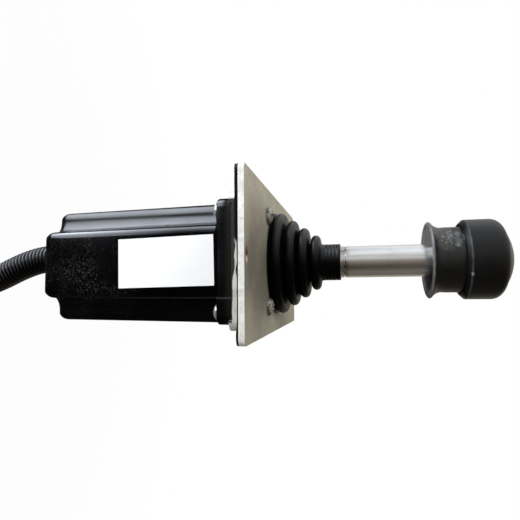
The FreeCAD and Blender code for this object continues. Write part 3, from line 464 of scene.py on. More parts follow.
def matte_black(name="satin_black"):
    """The cap's and the connector's plastic, with a patchy painted highlight round the cap's lip and painted
    light on the faces that look up in the photograph.
    """
    s = Shade(name, Specular_IOR_Level=0.3)
    cloud = s.noise(80, 4, 0.6)
    base = s.blend(s.span(cloud, 0.3, 0.7), (0.0022, 0.0023, 0.0024), (0.0048, 0.0050, 0.0050))
    # painted highlight: a patchy grey line round the cap's lip
    lip = s.product(s.near("Z", 0.0953, 0.0006), s.span(s.noise(130, 4, 0.65), 0.30, 0.55))
    nick = s.product(s.spot((0.0076, -0.0175, 0.0952), 0.0009), s.span(s.noise(1500, 2), 0.40, 0.55))
    # painted light: the faces that look up in the photograph are lighter, in patches
    light_patches = s.span(s.noise(160, 4, 0.65), 0.30, 0.60, 0.5, 1.0)
    top = s.product(s.span(s.facing("X"), -0.55, -1.0), light_patches)
    base = s.coat(base, (0.030, 0.031, 0.032), top, 0.5)
    base = s.coat(base, (0.095, 0.098, 0.104), lip, 0.48)
    s.set("Base Color", s.coat(base, (0.33, 0.33, 0.32), nick, 0.9))
    s.set("Roughness", s.span(cloud, 0.3, 0.7, 0.34, 0.50))
    scratch = s.noise(210, 3, 0.7, s.stretched(1, 1, 0.10))
    s.bump((s.noise(1400, 3, 0.6), 0.03), (scratch, 0.012), (nick, -0.06))
    return s.material


def rubber(name="rubber"):
    """Black, with a soft shine on what faces up in the photograph and little below."""
    s = Shade(name, Specular_IOR_Level=0.3)
    cloud = s.noise(90, 5, 0.65)
    dust = s.span(s.noise(600, 3, 0.7), 0.60, 0.80, 0.0, 0.30)
    base = s.blend(s.span(cloud, 0.35, 0.7), (0.0008, 0.0008, 0.0009), (0.0026, 0.0026, 0.0025))
    s.set("Base Color", s.coat(base, (0.012, 0.012, 0.011), dust))
    s.set("Roughness", s.span(cloud, 0.3, 0.7, 0.34, 0.48))
    s.set("Specular IOR Level", s.span(s.facing("X"), -0.70, 0.10, 0.42, 0.06))
    s.bump((s.noise(900, 4, 0.65), 0.035), (s.noise(150, 2, 0.5), 0.10))
    return s.material


def plate_metal(name="plate_metal"):
    """Dull faces with pits and a rust spot, and brighter sawn edges."""
    s = Shade(name, Metallic=0.25, Specular_IOR_Level=0.5)
    edge = s.span(s.size_of(s.facing("Z")), 0.45, 0.75, 1.0, 0.0)
    cloud = s.noise(45, 6, 0.65)
    grain = s.noise(420, 4, 0.7, s.stretched(1, 0.25, 1))
    stain = s.span(s.noise(26, 5, 0.6, None, 0.6), 0.50, 0.72, 0.0, 0.45)
    base = s.blend(s.span(cloud, 0.3, 0.7), (0.37, 0.35, 0.265), (0.52, 0.495, 0.395))
    base = s.coat(base, (0.260, 0.232, 0.185), stain)
    # a darker patch on the face in front of the boot
    darker_patch = s.product(s.spot((0.004, -0.042, FACE), 0.036), s.span(s.noise(60, 4), 0.25, 0.55, 0.5, 1.0))
    base = s.coat(base, (0.150, 0.134, 0.102), darker_patch, 0.85)
    # painted shade: the face gets darker towards +X
    base = s.coat(base, (0.175, 0.160, 0.120), s.span(s.axis("X"), -0.004, 0.012, 0.0, 0.42))
    # a dark ring round each screw head: grime, and painted shade where the head sits on the plate
    for x in (-SCREW_AT, SCREW_AT):
        for y in (-SCREW_AT, SCREW_AT):
            ring = s.product(s.spot((x, y, FACE), 0.0062), s.span(s.noise(260, 4), 0.30, 0.60))
            base = s.coat(base, (0.085, 0.080, 0.055), ring, 0.75)
    bright = s.blend(s.span(s.noise(330, 4, 0.7), 0.35, 0.65), (0.66, 0.65, 0.60), (0.86, 0.855, 0.81))
    tooth = s.product(s.span(s.noise(1500, 3, 0.7), 0.55, 0.66), 0.45)
    base = s.blend(edge, base, s.coat(bright, (0.45, 0.44, 0.38), tooth))
    pits = s.product(s.span(s.cells(430), 0.08, 0.20, 1.0, 0.0), s.span(s.noise(150, 2), 0.50, 0.58))
    base = s.coat(base, (0.075, 0.065, 0.050), pits, 0.75)
    for x, y, size in ((-0.0322, -0.0594, 0.0008), (-0.0270, -0.0587, 0.0007), (0.0139, -0.0523, 0.0008)):
        base = s.coat(base, (0.06, 0.05, 0.04), s.spot((x, y, FACE), size), 0.8)
    ragged = s.span(s.noise(900, 3, 0.7), 0.26, 0.42)
    rust = s.product(s.spot((-0.0010, -0.0645, FACE), 0.0030), ragged)
    core = s.product(s.spot((-0.0004, -0.0643, FACE), 0.0016), ragged)
    orange = s.product(s.spot((0.0020, -0.0644, FACE), 0.0017), ragged)
    base = s.coat(base, (0.16, 0.060, 0.030), rust, 0.85)
    base = s.coat(base, (0.030, 0.008, 0.004), core)
    s.set("Base Color", s.coat(base, (0.85, 0.62, 0.50), orange))
    s.set("Roughness", s.span(grain, 0.25, 0.75, 0.44, 0.62))
    s.bump((grain, 0.03), (pits, -0.03), (rust, 0.05))
    return s.material


def cast_metal(name="cast_metal"):
    """Pale casting with clouds of grime; on the camera's side a near-black painted shade lies along the
    flange, most of it at one end.
    """
    s = Shade(name, Metallic=0.25, Specular_IOR_Level=0.5)
    cloud = s.noise(110, 5, 0.6)
    grime = s.span(s.noise(70, 5, 0.7), 0.52, 0.72, 0.0, 0.7)
    base = s.blend(s.span(cloud, 0.3, 0.7), (0.56, 0.55, 0.49), (0.70, 0.69, 0.63))
    base = s.coat(base, (0.24, 0.225, 0.185), grime)
    # painted shade on the camera's side: a near-black patch along the flange towards -X, and a near-black
    # line beside the flange
    wave = s.wobble(120, 3, 0.0030)
    shade_patch = s.span(s.math("ADD", s.axis("X"), wave), -0.0100, -0.0035, 0.985, 0.0)
    edge = s.math("ADD", s.wobble(260, 4, 0.0040), s.span(s.axis("X"), -0.014, -0.004, 0.0, 0.0026))
    shade_patch = s.product(shade_patch, s.span(s.math("ADD", s.axis("Z"), edge), -0.0086, -0.0062, 1.0, 0.0))
    level = s.math("SUBTRACT", s.axis("Z"), s.span(s.axis("X"), -0.005, 0.015, 0.0014, 0.0))
    shade_line = s.span(s.math("ADD", level, wave), -0.0113, -0.0110, 0.97, 0.0)
    outer = s.span(s.axis("Y"), -0.0318, -0.0326)
    outer = s.product(outer, s.span(s.size_of(s.axis("X")), 0.0285, 0.0295, 1.0, 0.0))
    s.set("Base Color", s.coat(base, (0.004, 0.0035, 0.0035), s.math("MAXIMUM", shade_patch, shade_line), outer))
    s.set("Roughness", s.span(cloud, 0.3, 0.7, 0.48, 0.68))
    s.bump((s.noise(1100, 3, 0.7), 0.05))
    return s.material


def screw_steel(name="screw_steel"):
    """Bright behind the flange, dull and grimy on the plate's outer face."""
    s = Shade(name, Metallic=0.75)
    outside = s.span(s.axis("Z"), 0.0, 0.002)
    cloud = s.noise(300, 4, 0.65)
    bright = s.blend(s.span(cloud, 0.32, 0.7), (0.62, 0.615, 0.59), (0.82, 0.815, 0.80))
    patch = s.product(outside, s.span(s.noise(520, 3, 0.6), 0.40, 0.58))
    dull = s.blend(s.span(cloud, 0.35, 0.65), (0.10, 0.10, 0.070), (0.24, 0.235, 0.18))
    dull = s.coat(dull, (0.56, 0.56, 0.50), patch)
    s.set("Base Color", s.blend(outside, bright, dull))
    s.set("Roughness", s.math("ADD", s.span(cloud, 0.3, 0.7, 0.22, 0.34), s.product(outside, 0.22)))
    s.bump((s.noise(1800, 3, 0.6), 0.02), (cloud, 0.03), (patch, 0.22))
    return s.material


def shaft_metal(name="shaft_metal"):
    """Turned bar: fine rings, long rubbed streaks, dark marks near the boot."""
    s = Shade(name, Metallic=1.0)
    turned = s.noise(30, 2, 0.5, s.stretched(0.3, 0.3, 160))
    streak = s.noise(260, 4, 0.65, s.stretched(1, 1, 0.030))
    marks = s.span(s.noise(55, 5, 0.7), 0.55, 0.72, 0.0, 0.5)
    base = s.blend(s.span(streak, 0.36, 0.64), (0.58, 0.57, 0.55), (0.84, 0.835, 0.82))
    base = s.coat(base, (0.46, 0.44, 0.41), marks)
    low = s.product(s.span(s.axis("Z"), 0.0395, 0.0425, 1.0, 0.0), s.span(s.noise(240, 3, 0.7), 0.48, 0.62))
    s.set("Base Color", s.coat(base, (0.12, 0.10, 0.07), low, 0.8))
    s.set("Roughness", s.span(streak, 0.3, 0.7, 0.17, 0.32))
    s.bump((turned, 0.006), (streak, 0.012))
    return s.material


def worn_black(name="worn_black"):
    """Dark finish rubbed to olive grey, shown only where faces look up in the photograph as painted light,
    with painted shade under the cap's lip.
    """
    s = Shade(name, Metallic=0.1, Specular_IOR_Level=0.55)
    cloud = s.noise(70, 5, 0.65)
    rubbed = s.span(s.noise(95, 6, 0.72, s.stretched(1, 1, 0.6)), 0.42, 0.66)
    # painted light: the olive rubbing and its specks show only on faces that look up in the photograph, and
    # fade into painted shade under the cap's lip
    under_cap = s.span(s.axis("Z"), 0.0925, 0.0885, 0.25, 1.0)
    up = s.span(s.facing("X"), -0.70, 0.15, 1.0, 0.04)
    fine = s.product(s.span(s.noise(950, 3, 0.7), 0.50, 0.64), s.span(s.noise(120, 4), 0.42, 0.60))
    base = s.blend(s.span(cloud, 0.3, 0.7), (0.0016, 0.0017, 0.0012), (0.0048, 0.0050, 0.0038))
    base = s.coat(base, (0.066, 0.068, 0.052), rubbed, under_cap, up, 0.75)
    base = s.coat(base, (0.20, 0.20, 0.175), fine, up, under_cap, 0.62)
    flat = s.product(s.spot((-0.0104, -0.0108, 0.0915), 0.0056), s.span(s.noise(900, 3, 0.6), 0.42, 0.58))
    base = s.coat(base, (0.120, 0.122, 0.126), flat, 0.85)
    # painted shade: a near-black line along the step of the flat
    step = s.product(s.near("Z", 0.0892, 0.0008), s.spot((-0.0104, -0.0116, 0.0892), 0.0075))
    base = s.coat(base, (0.002, 0.002, 0.002), step, 0.9)
    chip = s.product(s.spot((-0.0062, -0.0146, 0.0905), 0.0018), s.span(s.noise(700, 3), 0.40, 0.66))
    base = s.coat(base, (0.15, 0.15, 0.155), chip, 0.8)
    # the dish under the rim is paler, with painted light that fades towards +X
    dish = s.product(s.span(s.facing("Z"), -0.55, -0.85), s.span(s.axis("Z"), 0.0840, 0.0825))
    base = s.coat(base, (0.175, 0.175, 0.165), dish, s.span(s.axis("X"), -0.002, 0.006, 1.0, 0.18), 0.8)
    # painted highlight: a patchy pale bluish line along the rim's edge
    lip = s.product(s.near("Z", 0.0793, 0.0008), s.span(s.noise(160, 4, 0.65), 0.34, 0.55))
    s.set("Base Color", s.coat(base, (0.20, 0.20, 0.215), lip, 0.85))
    s.set("Roughness", s.span(rubbed, 0.0, 1.0, 0.38, 0.56))
    s.bump((s.noise(900, 4, 0.65), 0.035), (rubbed, 0.02))
    return s.material


def insert_grey(name="insert_grey"):
    """Grey plastic with grime in its pores."""
    s = Shade(name, Specular_IOR_Level=0.4)
    cloud = s.noise(120, 5, 0.6)
    grime = s.span(s.noise(300, 4, 0.7), 0.58, 0.74, 0.0, 0.5)
    base = s.blend(s.span(cloud, 0.3, 0.7), (0.105, 0.100, 0.094), (0.160, 0.153, 0.144))
    s.set("Base Color", s.coat(base, (0.07, 0.065, 0.06), grime))
    s.set("Roughness", s.span(cloud, 0.3, 0.7, 0.42, 0.60))
    s.bump((s.noise(1200, 3, 0.6), 0.03))
    return s.material


def board_green(name="board_green"):
    """Lacquered board with tracks."""
    s = Shade(name, Specular_IOR_Level=0.5)
    track = s.span(s.cells(260, "DISTANCE_TO_EDGE", 0.6), 0.03, 0.07)
    s.set("Base Color", s.blend(track, (0.035, 0.19, 0.075), (0.015, 0.10, 0.045)))
    s.set("Roughness", s.span(s.noise(300, 3), 0.3, 0.7, 0.28, 0.42))
    s.bump((track, 0.04))
    return s.material


def clouded(name, cloud, fade, colours, rough, grain, **values):
    """Plain stuff: two colours in clouds, roughness with them, a fine grain."""
    s = Shade(name, **values)
    cloud = s.noise(*cloud)
    s.set("Base Color", s.blend(s.span(cloud, *fade), *colours))
    s.set("Roughness", s.span(cloud, 0.3, 0.7, *rough))
    s.bump((s.noise(grain[0], 3, 0.6), grain[1]))
    return s.material


MATERIALS = {
    "plate_metal": plate_metal(),
    "black_rubber": rubber(),
    "screw_steel": screw_steel(),
    "cast_metal": cast_metal(),
    "bush_plastic": clouded(
        "bush_plastic", (260, 4, 0.6), (0.3, 0.7), ((0.55, 0.53, 0.46), (0.68, 0.66, 0.58)),
        (0.4, 0.55), (900, 0.02), Specular_IOR_Level=0.4),
    "matte_black": matte_black(),
    "spring_steel": clouded(
        "spring_steel", (240, 4, 0.65), (0.32, 0.7), ((0.36, 0.36, 0.37), (0.56, 0.56, 0.57)),
        (0.2, 0.36), (1800, 0.02), Metallic=1.0),
    "shaft_metal": shaft_metal(),
    "worn_black": worn_black(),
    "insert_grey": insert_grey(),
    "gloss_black": gloss_black(),
    "board_green": board_green(),
    "label_white": clouded(
        "label_film", (60, 4, 0.6), (0.3, 0.75), ((0.86, 0.86, 0.855), (0.84, 0.84, 0.83)),
        (0.34, 0.5), (500, 0.01), Specular_IOR_Level=0.5),
}
SLOT_OF = {row["node"]: row["material_slot"] for row in frame["record"]["subparts"]}
for node_name, node_object in NODES.items():
    node_object.data.materials.clear()
    node_object.data.materials.append(MATERIALS[SLOT_OF[node_name]])


# ---------------------------------------------------------------- the conduit
def make_conduit():
    """Corrugated hose along the route."""
    line, length = even_line(smooth_line(ROUTE), CONDUIT_PITCH / 8)

    def radius_at(run):
        crest = 0.5 + 0.5 * math.cos(2 * math.pi * run / CONDUIT_PITCH)
        return CONDUIT_R - CONDUIT_DEEP * (1 - min(1.0, crest * 1.6)) ** 1.3

    piece = tube("conduit_corrugated", line, radius_at, 36)
    finish_piece(piece, "base", "gloss_black", "conduit")


make_conduit()


# ---------------------------------------------------------------- housing
# Shapes and profiles, (r, z) or (x, y, z), are in millimetres until they are multiplied by MM
HOUSE_FLANGE_Z = -19.9
HOUSE_REAR_Z = -115.9
SEAL_Z = -12.0
LOBE_REACH, LOBE_HALF, LOBE_CORNER, NOTCH_CORNER = 30.35, 18.3, 5.0, 6.0
DRAFT = math.tan(math.radians(0.6))
WALL = 2.5
END_DEEP, END_INWARD, END_FLAT = 5.8, 4.8, 0.4     # the rounding of the cover's end
ROOT_FILLET = 0.7                        # where the cover meets the flange


def plus_loop(reach, half, outer, inner, per_arc=8, per_side=3):
    """Points round the plus-shaped section, in millimetres."""
    corners = []
    for quarter in range(4):
        t = math.radians(90 * quarter)
        for x, y, r in ((half, -reach, outer), (half, -half, inner), (reach, -half, outer)):
            at = Vector((x * math.cos(t) - y * math.sin(t), x * math.sin(t) + y * math.cos(t)))
            corners.append((at, r))
    arcs = []
    for i, (here, r) in enumerate(corners):
        before = (corners[i - 1][0] - here).normalized()
        after = (corners[(i + 1) % len(corners)][0] - here).normalized()
        centre = here + (before + after) * r
        start, end = here + before * r - centre, here + after * r - centre
        sweep = math.atan2(start.x * end.y - start.y * end.x, start.dot(end))
        arcs.append([centre + Matrix.Rotation(sweep * k / per_arc, 2) @ start for k in range(per_arc + 1)])
    return with_sides(arcs, per_side)


def square_loop(side, corner, per_arc=8, per_side=6):
    """Points round a rounded square, in millimetres."""
    m = side / 2 - corner
    arcs = []
    for q, (cx, cy) in enumerate(((m, m), (-m, m), (-m, -m), (m, -m))):
        turns = [math.radians(90 * q + 90 * k / per_arc) for k in range(per_arc + 1)]
        arcs.append([Vector((cx + corner * math.cos(a), cy + corner * math.sin(a))) for a in turns])
    return with_sides(arcs, per_side)


def with_sides(arcs, per_side):
    """The arcs joined into one loop, with points along the straight sides."""
    out = []
    for i, points in enumerate(arcs):
        out += points
        following = arcs[(i + 1) % len(arcs)][0]
        out += [points[-1].lerp(following, k / per_side) for k in range(1, per_side)]
    return out


def stacked(name, outlines):
    """A closed form from outlines with their heights: (points, z)."""
    verts, loops = [], []
    for points, z in outlines:
        loops.append([len(verts) + i for i in range(len(points))])
        verts += [Vector((p.x, p.y, z)) * MM for p in points]
    return new_object(name, verts, skin(loops), 36.0)


def plus_form(name, levels):
    """A closed form from stacked plus-shaped outlines: (inset, z)."""
    outlines = []
    for inset, z in levels:
        outer = max(LOBE_CORNER - inset, 0.4)
        inner = min(NOTCH_CORNER + inset, LOBE_REACH - LOBE_HALF - outer - 0.2)
        outlines.append((plus_loop(LOBE_REACH - inset, LOBE_HALF - inset, outer, inner), z))
    return stacked(name, outlines)


def drawn(z):
    """Inset of the cover's side at height z, from its draft."""
    return (HOUSE_FLANGE_Z - z) * DRAFT


def make_cover():
    """Drafted cover with a rounded end, widened a little where it meets the flange."""
    levels = [(drawn(HOUSE_REAR_Z) + END_INWARD + END_FLAT, HOUSE_REAR_Z)]
    for k in range(11):
        t = math.radians(90 * k / 10)
        z = HOUSE_REAR_Z + END_DEEP * (1 - math.cos(t))
        levels.append((drawn(z) + END_INWARD * (1 - math.sin(t)), z))
    for k in range(1, 13):
        z = HOUSE_REAR_Z + END_DEEP + (HOUSE_FLANGE_Z - ROOT_FILLET - HOUSE_REAR_Z - END_DEEP) * k / 12
        levels.append((drawn(z), z))
    for k in range(1, 5):
        t = math.radians(90 * k / 4)
        levels.append((-ROOT_FILLET * (1 - math.cos(t)), HOUSE_FLANGE_Z - ROOT_FILLET * (1 - math.sin(t))))
    return plus_form("housing_cover", levels + [(1.5, HOUSE_FLANGE_Z + 0.5)])


def make_flange():
    """Square flange with rounded edges."""
    low, high = HOUSE_FLANGE_Z, SEAL_Z
    return stacked("housing_flange", [(square_loop(side, corner), z) for side, corner, z in (
        (57.4, 3.3, low), (59.3, 4.2, low), (60.2, 4.65, low + 0.22), (60.7, 4.9, low + 0.55),
        (60.9, 5.0, low + 0.9), (60.9, 5.0, low + 3.0), (60.9, 5.0, high - 0.35),
        (60.6, 4.85, high), (56.4, 3.0, high))])


def hollowed(piece):
    """Takes the mechanism's cavity out of a closed form."""
    floor = HOUSE_REAR_Z + 6.5
    cavity = plus_form("cavity", [(WALL + drawn(floor), floor), (WALL, HOUSE_FLANGE_Z), (WALL, SEAL_Z + 2.0)])
    cut = piece.modifiers.new("cavity", "BOOLEAN")
    cut.operation, cut.solver, cut.object = "DIFFERENCE", "EXACT", cavity
    mesh = evaluated_mesh(piece)
    piece.modifiers.clear()
    piece.data = mesh
    bpy.data.objects.remove(cavity)
    return piece


def join(first, second):
    """Puts the mesh of the second new object into the first."""
    work = bmesh.new()
    for piece in (first, second):
        work.from_mesh(piece.data)
    work.to_mesh(first.data)
    work.free()
    bpy.data.objects.remove(second)
    first.data.set_sharp_from_angle(angle=math.radians(36.0))
    return first


housing = join(hollowed(make_cover()), hollowed(make_flange()))
finish_piece(housing, "base", "gloss_black", "housing_shell")


# ---------------------------------------------------------------- plate, frame, screws, label, gasket
for dressed, ease, slot in (("front_plate", 0.35, "plate_metal"), ("pivot_frame", 0.5, "cast_metal"),
                            ("plate_screws", 0.15, "screw_steel"), ("housing_screws", 0.15, "screw_steel")):
    finish_piece(refined(dressed, ease), "base", slot, dressed)


def make_label():
    """The label's sheet, stuck on a little askew."""
    source = NODES["blank_label"].data
    middle = sum((v.co for v in source.vertices), Vector()) / len(source.vertices)
    work = bmesh.new()
    work.from_mesh(source)
    lean = Matrix.Rotation(math.radians(-1.1), 4, "Y")
    there_and_back = Matrix.Translation(middle) @ lean @ Matrix.Translation(-middle)
    bmesh.ops.transform(work, matrix=there_and_back, verts=work.verts)
    mesh = bpy.data.meshes.new("label_sheet")
    work.to_mesh(mesh)
    work.free()
    piece = add_object("label_sheet", mesh)
    piece.matrix_world = NODES["blank_label"].matrix_world.copy()
    return piece


finish_piece(make_label(), "base", "label_white", "blank_label")
GASKET_X, GASKET_Y, GASKET_THICK, GASKET_CORNER = 35.0, 68.0, 1.2, 2.5
HOLE_HALF, HOLE_CORNER = 33.2, 5.2


def clamped(value):
    return max(0.0, min(1.0, value))


def rounded_corners(x, y):
    """Moves points at the sheet's and the hole's corners onto their arcs."""
    mx, my, m = GASKET_X - GASKET_CORNER, GASKET_Y - GASKET_CORNER, HOLE_HALF - HOLE_CORNER
    if abs(x) > mx and abs(y) > my:
        away = Vector((abs(x) - mx, abs(y) - my))
        if away.length > GASKET_CORNER:
            away = away.normalized() * GASKET_CORNER
        return math.copysign(mx + away.x, x), math.copysign(my + away.y, y)
    at_hole = max(abs(x), abs(y)) > HOLE_HALF - 0.01
    if at_hole and m < abs(x) <= HOLE_HALF and m < abs(y) <= HOLE_HALF:
        away = Vector((abs(x) - m, abs(y) - m)).normalized() * HOLE_CORNER
        return math.copysign(m + away.x, x), math.copysign(m + away.y, y)
    return x, y


def sag(x, y):
    """How far the sheet's lower face hangs down at its near edge; below 0 where it is thinned."""
    near = clamped((-61.0 - y) / 3.8)
    upper = clamped((-4.0 - x) / 3.0)
    wave = noise.noise(Vector((x * 0.30, 3.1, 0.7)))
    lump = 0.50 * max(0.0, 1.0 - abs(x - 6.5) / 3.2)
    end = 0.34 * clamped((x - 26.5) / 2.5)
    thin = 0.74 + 0.16 * wave - lump - end
    return near * (upper * (0.10 + 0.10 * wave) - (1 - upper) * thin)


def make_gasket():
    """Rubber sheet under the plate; its near edge waves, and is thinned over the lower half."""
    xs = [-35.0, -34.6, -33.2, -32.0, -30.2, -28.0] + [-25.0 + 1.25 * k for k in range(41)]
    xs += [28.0, 30.2, 32.0, 33.2, 34.6, 35.0]
    ys = [-68.0, -67.6, -66.8, -65.5, -63.5, -61.0, -57.0, -50.0, -42.0, -36.0, -33.2, -32.0, -30.2, -28.0]
    ys += [-20.0, -10.0]
    ys = ys + [0.0] + [-y for y in reversed(ys)]
    verts, faces, index = [], [], {}
    for level in (0, 1):
        for i, x in enumerate(xs):
            for j, y in enumerate(ys):
                if max(abs(x), abs(y)) < HOLE_HALF - 0.01:
                    continue
                px, py = rounded_corners(x, y)
                index[level, i, j] = len(verts)
                verts.append(Vector((px, py, GASKET_THICK if level else -sag(px, py))) * MM)
    edges = {}                           # those with a cell on one side only
    for i in range(len(xs) - 1):
        for j in range(len(ys) - 1):
            if max(abs(xs[i] + xs[i + 1]), abs(ys[j] + ys[j + 1])) < 2 * HOLE_HALF:
                continue
            cell = [(i, j), (i + 1, j), (i + 1, j + 1), (i, j + 1)]
            faces.append([index[1, a, b] for a, b in cell])
            faces.append([index[0, a, b] for a, b in reversed(cell)])
            for a, b in zip(cell, cell[1:] + cell[:1]):
                if (b, a) in edges:
                    del edges[b, a]
                else:
                    edges[a, b] = True
    for (a, b), (c, d) in edges:
        faces.append([index[0, a, b], index[0, c, d], index[1, c, d], index[1, a, b]])
    return new_object("gasket_sheet", verts, faces, 50.0)


finish_piece(make_gasket(), "base", "black_rubber", "plate_gasket")


# ---------------------------------------------------------------- boot
RING_Z, RING_STEP = 7.4, 5.87            # the first convolution's height, and from one to the next
RING_R, RING_SHRINK = 26.1, 4.0
BOOT_SPLIT = RING_Z + RING_STEP * 1.5


def boot_profile():
    """Outer points and inner points from the foot to the sleeve's end, in millimetres."""
    outer = [(27.4, -0.4), (27.4, 1.0), (23.8, 1.0), (23.8, 3.9), (26.2, 3.9), (26.3, 4.3)]
    inner = [(22.6, -0.4), (22.6, 4.3)]
    tube_r, wall = 2.35, 1.2
    for k in range(4):
        ring, z = RING_R - RING_SHRINK * k, RING_Z + RING_STEP * k
        centre = ring - tube_r
        outer += arc(centre, z, tube_r, -82, 82, 12)
        inner += arc(centre - 0.1, z, tube_r - wall, -60, 60, 6)
        if k < 3:
            valley = ring - 8.3 + (2.2 if k == 1 else 0.0)     # room for the tilted lever at the split
            middle = z + RING_STEP / 2
            outer += [(valley + 1.2, middle - 0.42), (valley + 0.3, middle - 0.3), (valley, middle),
                      (valley + 0.3, middle + 0.3), (valley + 1.2, middle + 0.42)]
            inner.append((valley - wall, middle))
    outer += [(9.75, 27.75), (9.35, 28.2)]
    for z in (29.95, 31.7, 33.45, 35.2):                       # the sleeve's fine grooves
        outer += [(9.3, z - 0.35), (9.12, z - 0.15), (9.12, z + 0.15), (9.3, z + 0.35)]
    outer += [(9.3, 36.8), (9.15, 37.25), (8.9, 37.36)]
    return outer, inner + [(8.25, 27.0), (8.2, 37.36)]


def uneven(r, z, a):
    """The convolutions' slight unevenness, none at the foot."""
    if z < 4.6:
        return r, z
    here = Vector((math.cos(a) * 1.6, math.sin(a) * 1.6, z * 0.16))
    return r * (1 + 0.006 * noise.noise(here) * min(1.0, (z - 4.6) / 3.0)), z


def make_boot():
    """Two halves that meet in a valley."""
    outer, inner = boot_profile()
    halves = []
    for name, side in (("boot_lower", -1), ("boot_upper", 1)):
        profile = [p for p in outer + inner[::-1] if (p[1] - BOOT_SPLIT) * side >= -1e-6]
        piece = lathe(name, profile, 128, True, uneven, 50.0)
        piece.data.materials.clear()
        piece.data.materials.append(MATERIALS["black_rubber"])
        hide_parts("boot")
        halves.append(piece)
    lower, upper = halves
    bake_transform(lower)
    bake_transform(upper)


make_boot()


# ---------------------------------------------------------------- lever, collar, cap
def make_shaft():
    """Turned bar: foot, neck inside the boot, groove above it, seat in the cap."""
    profile = [(0, -30.0), (4.4, -30.0), (5.0, -29.4), (5.0, -14.0), (7.0, -12.5), (8.0, -11.5)]
    profile += [(8.0, -1.0), (5.5, 1.5), (5.5, 12.0), (5.5, 23.5), (8.0, 26.0)]
    profile += [(8.0, z) for z in (26.5, 34.0, 38.7, 38.9)]
    profile += [(7.93, 39.0), (7.65, 39.1), (7.65, 39.8), (7.93, 39.9)]
    profile += [(8.0, z) for z in (40.0, 40.2, 46.0, 54.0, 62.0, 70.0, 78.0, 90.0, 104.0)]
    profile += [(7.4, 104.7), (0, 104.7)]
    return lathe("lever_bar", profile, 96, False)


COLLAR_RIM_Z = 78.9
COLLAR_FLAT, FLAT_TURN, FLAT_FROM = 14.4, math.radians(46), 10.42


def keyed(r, z, a):
    """Presses the two flats into the collar's upper end."""
    if z < COLLAR_RIM_Z + FLAT_FROM or r < 14.0:
        return r, z
    for middle in (FLAT_TURN, FLAT_TURN + math.pi):
        off = (a - middle + math.pi) % (2 * math.pi) - math.pi
        if abs(off) < 0.5:
            r = min(r, COLLAR_FLAT / math.cos(off))
    return r, z


def make_collar():
    """Spool with a dished rim, a hollow flare and two flats cut at its upper end."""
    profile = [(8.06, 2.2), (9.0, 2.2), (9.5, 2.14)]
    profile += bent((9.5, 2.14), (13.4, 1.35), (16.7, 0.36), 8)
    profile += bent((16.7, 0.36), (18.2, 0.02), (18.8, 0.6), 6) + [(18.72, 0.95), (18.5, 1.3)]
    profile += bent((18.5, 1.3), (16.66, 3.2), (15.9, 7.5), 12)
    profile += [(15.9, z) for z in (8.2, 10.2, 10.38, 10.46, 11.0, 14.0, 16.4)]
    profile += [(15.75, 16.85), (15.4, 17.0), (14.3, 17.0), (11.2, 17.0), (11.2, 6.8), (8.06, 6.8)]
    return lathe("collar_spool", [(r, z + COLLAR_RIM_Z) for r, z in profile], 180, True, keyed, 34.0)


CAP_R = 19.2
CAP_RIM = 14.6                           # where the cap's edge meets the insert
CAP_SEAT = 111.4


def make_cap():
    """Skirt with a chamfered lip, straight side, large rounded edge, seat for the insert."""
    profile = [(16.5, 93.9), (16.6, 93.75), (16.8, 93.7), (17.3, 93.7), (17.45, 93.75), (17.6, 93.9)]
    profile += [(18.95, 95.2), (19.1, 95.4), (19.17, 95.6)]
    profile += [(CAP_R, z) for z in (95.9, 96.4, 100.0, 104.0, 106.2)]
    side, turn, rim = Vector((CAP_R, 106.4)), Vector((CAP_R, 110.7)), Vector((CAP_RIM, 112.1))
    for k in range(15):
        t = k / 14
        profile.append(tuple(side * (1 - t) ** 2 + turn * 2 * t * (1 - t) + rim * t * t))
    inside = CAP_RIM - 0.12
    profile += [(CAP_RIM - 0.1, 112.05), (inside, 111.9), (inside, CAP_SEAT), (5.6, CAP_SEAT), (5.6, 107.1)]
    profile += [(2.75, 107.1), (2.75, 104.7), (8.05, 104.7), (8.05, 102.5), (16.5, 102.5)]
    return lathe("cap_shell", profile, 128, True, None, 34.0)


def make_insert():
    """Domed disc with an eased rim."""
    round_r, top = 25.2, 116.75

    def dome(r):
        return top - round_r + math.sqrt(round_r ** 2 - r * r)

    edge = CAP_RIM - 0.14
    profile = [(0, CAP_SEAT), (edge, CAP_SEAT), (edge, dome(edge) - 0.25), (edge - 0.06, dome(edge) - 0.05)]
    profile += [(r, dome(r)) for r in (edge - 0.3, 13.2, 12.0, 10.5, 8.5, 6.0, 3.0, 1.0, 0)]
    return lathe("cap_dome", profile, 96, False, None, 40.0)


finish_piece(make_shaft(), "lever", "shaft_metal", "lever_shaft")
finish_piece(make_collar(), "collar", "worn_black", "lift_collar")
finish_piece(make_cap(), "lever", "matte_black", "knob_cap")
finish_piece(make_insert(), "lever", "insert_grey", "cap_insert")
finish_piece(refined("harness_plug", 0.3), "base", "matte_black", "harness_plug")


def make_collar_spring():
    """Round wire between the collar's floor and the cap's web."""
    low, high, wire, middle = 86.0, 102.2, 0.65, 9.6
    lift, steps, per_turn = 6.0, 160, 40
    line = []
    for k in range(steps + 1):
        a = 2 * math.pi * k / per_turn
        z = low + wire + (high - low - 2 * wire) * k / steps
        line.append(Vector((middle * math.cos(a), middle * math.sin(a), z)) * MM)
    piece = tube("collar_coil", line, lambda run: wire * MM, 12)
    finish_piece(piece, "lever", "spring_steel", "collar_spring")
    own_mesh(piece)


make_collar_spring()


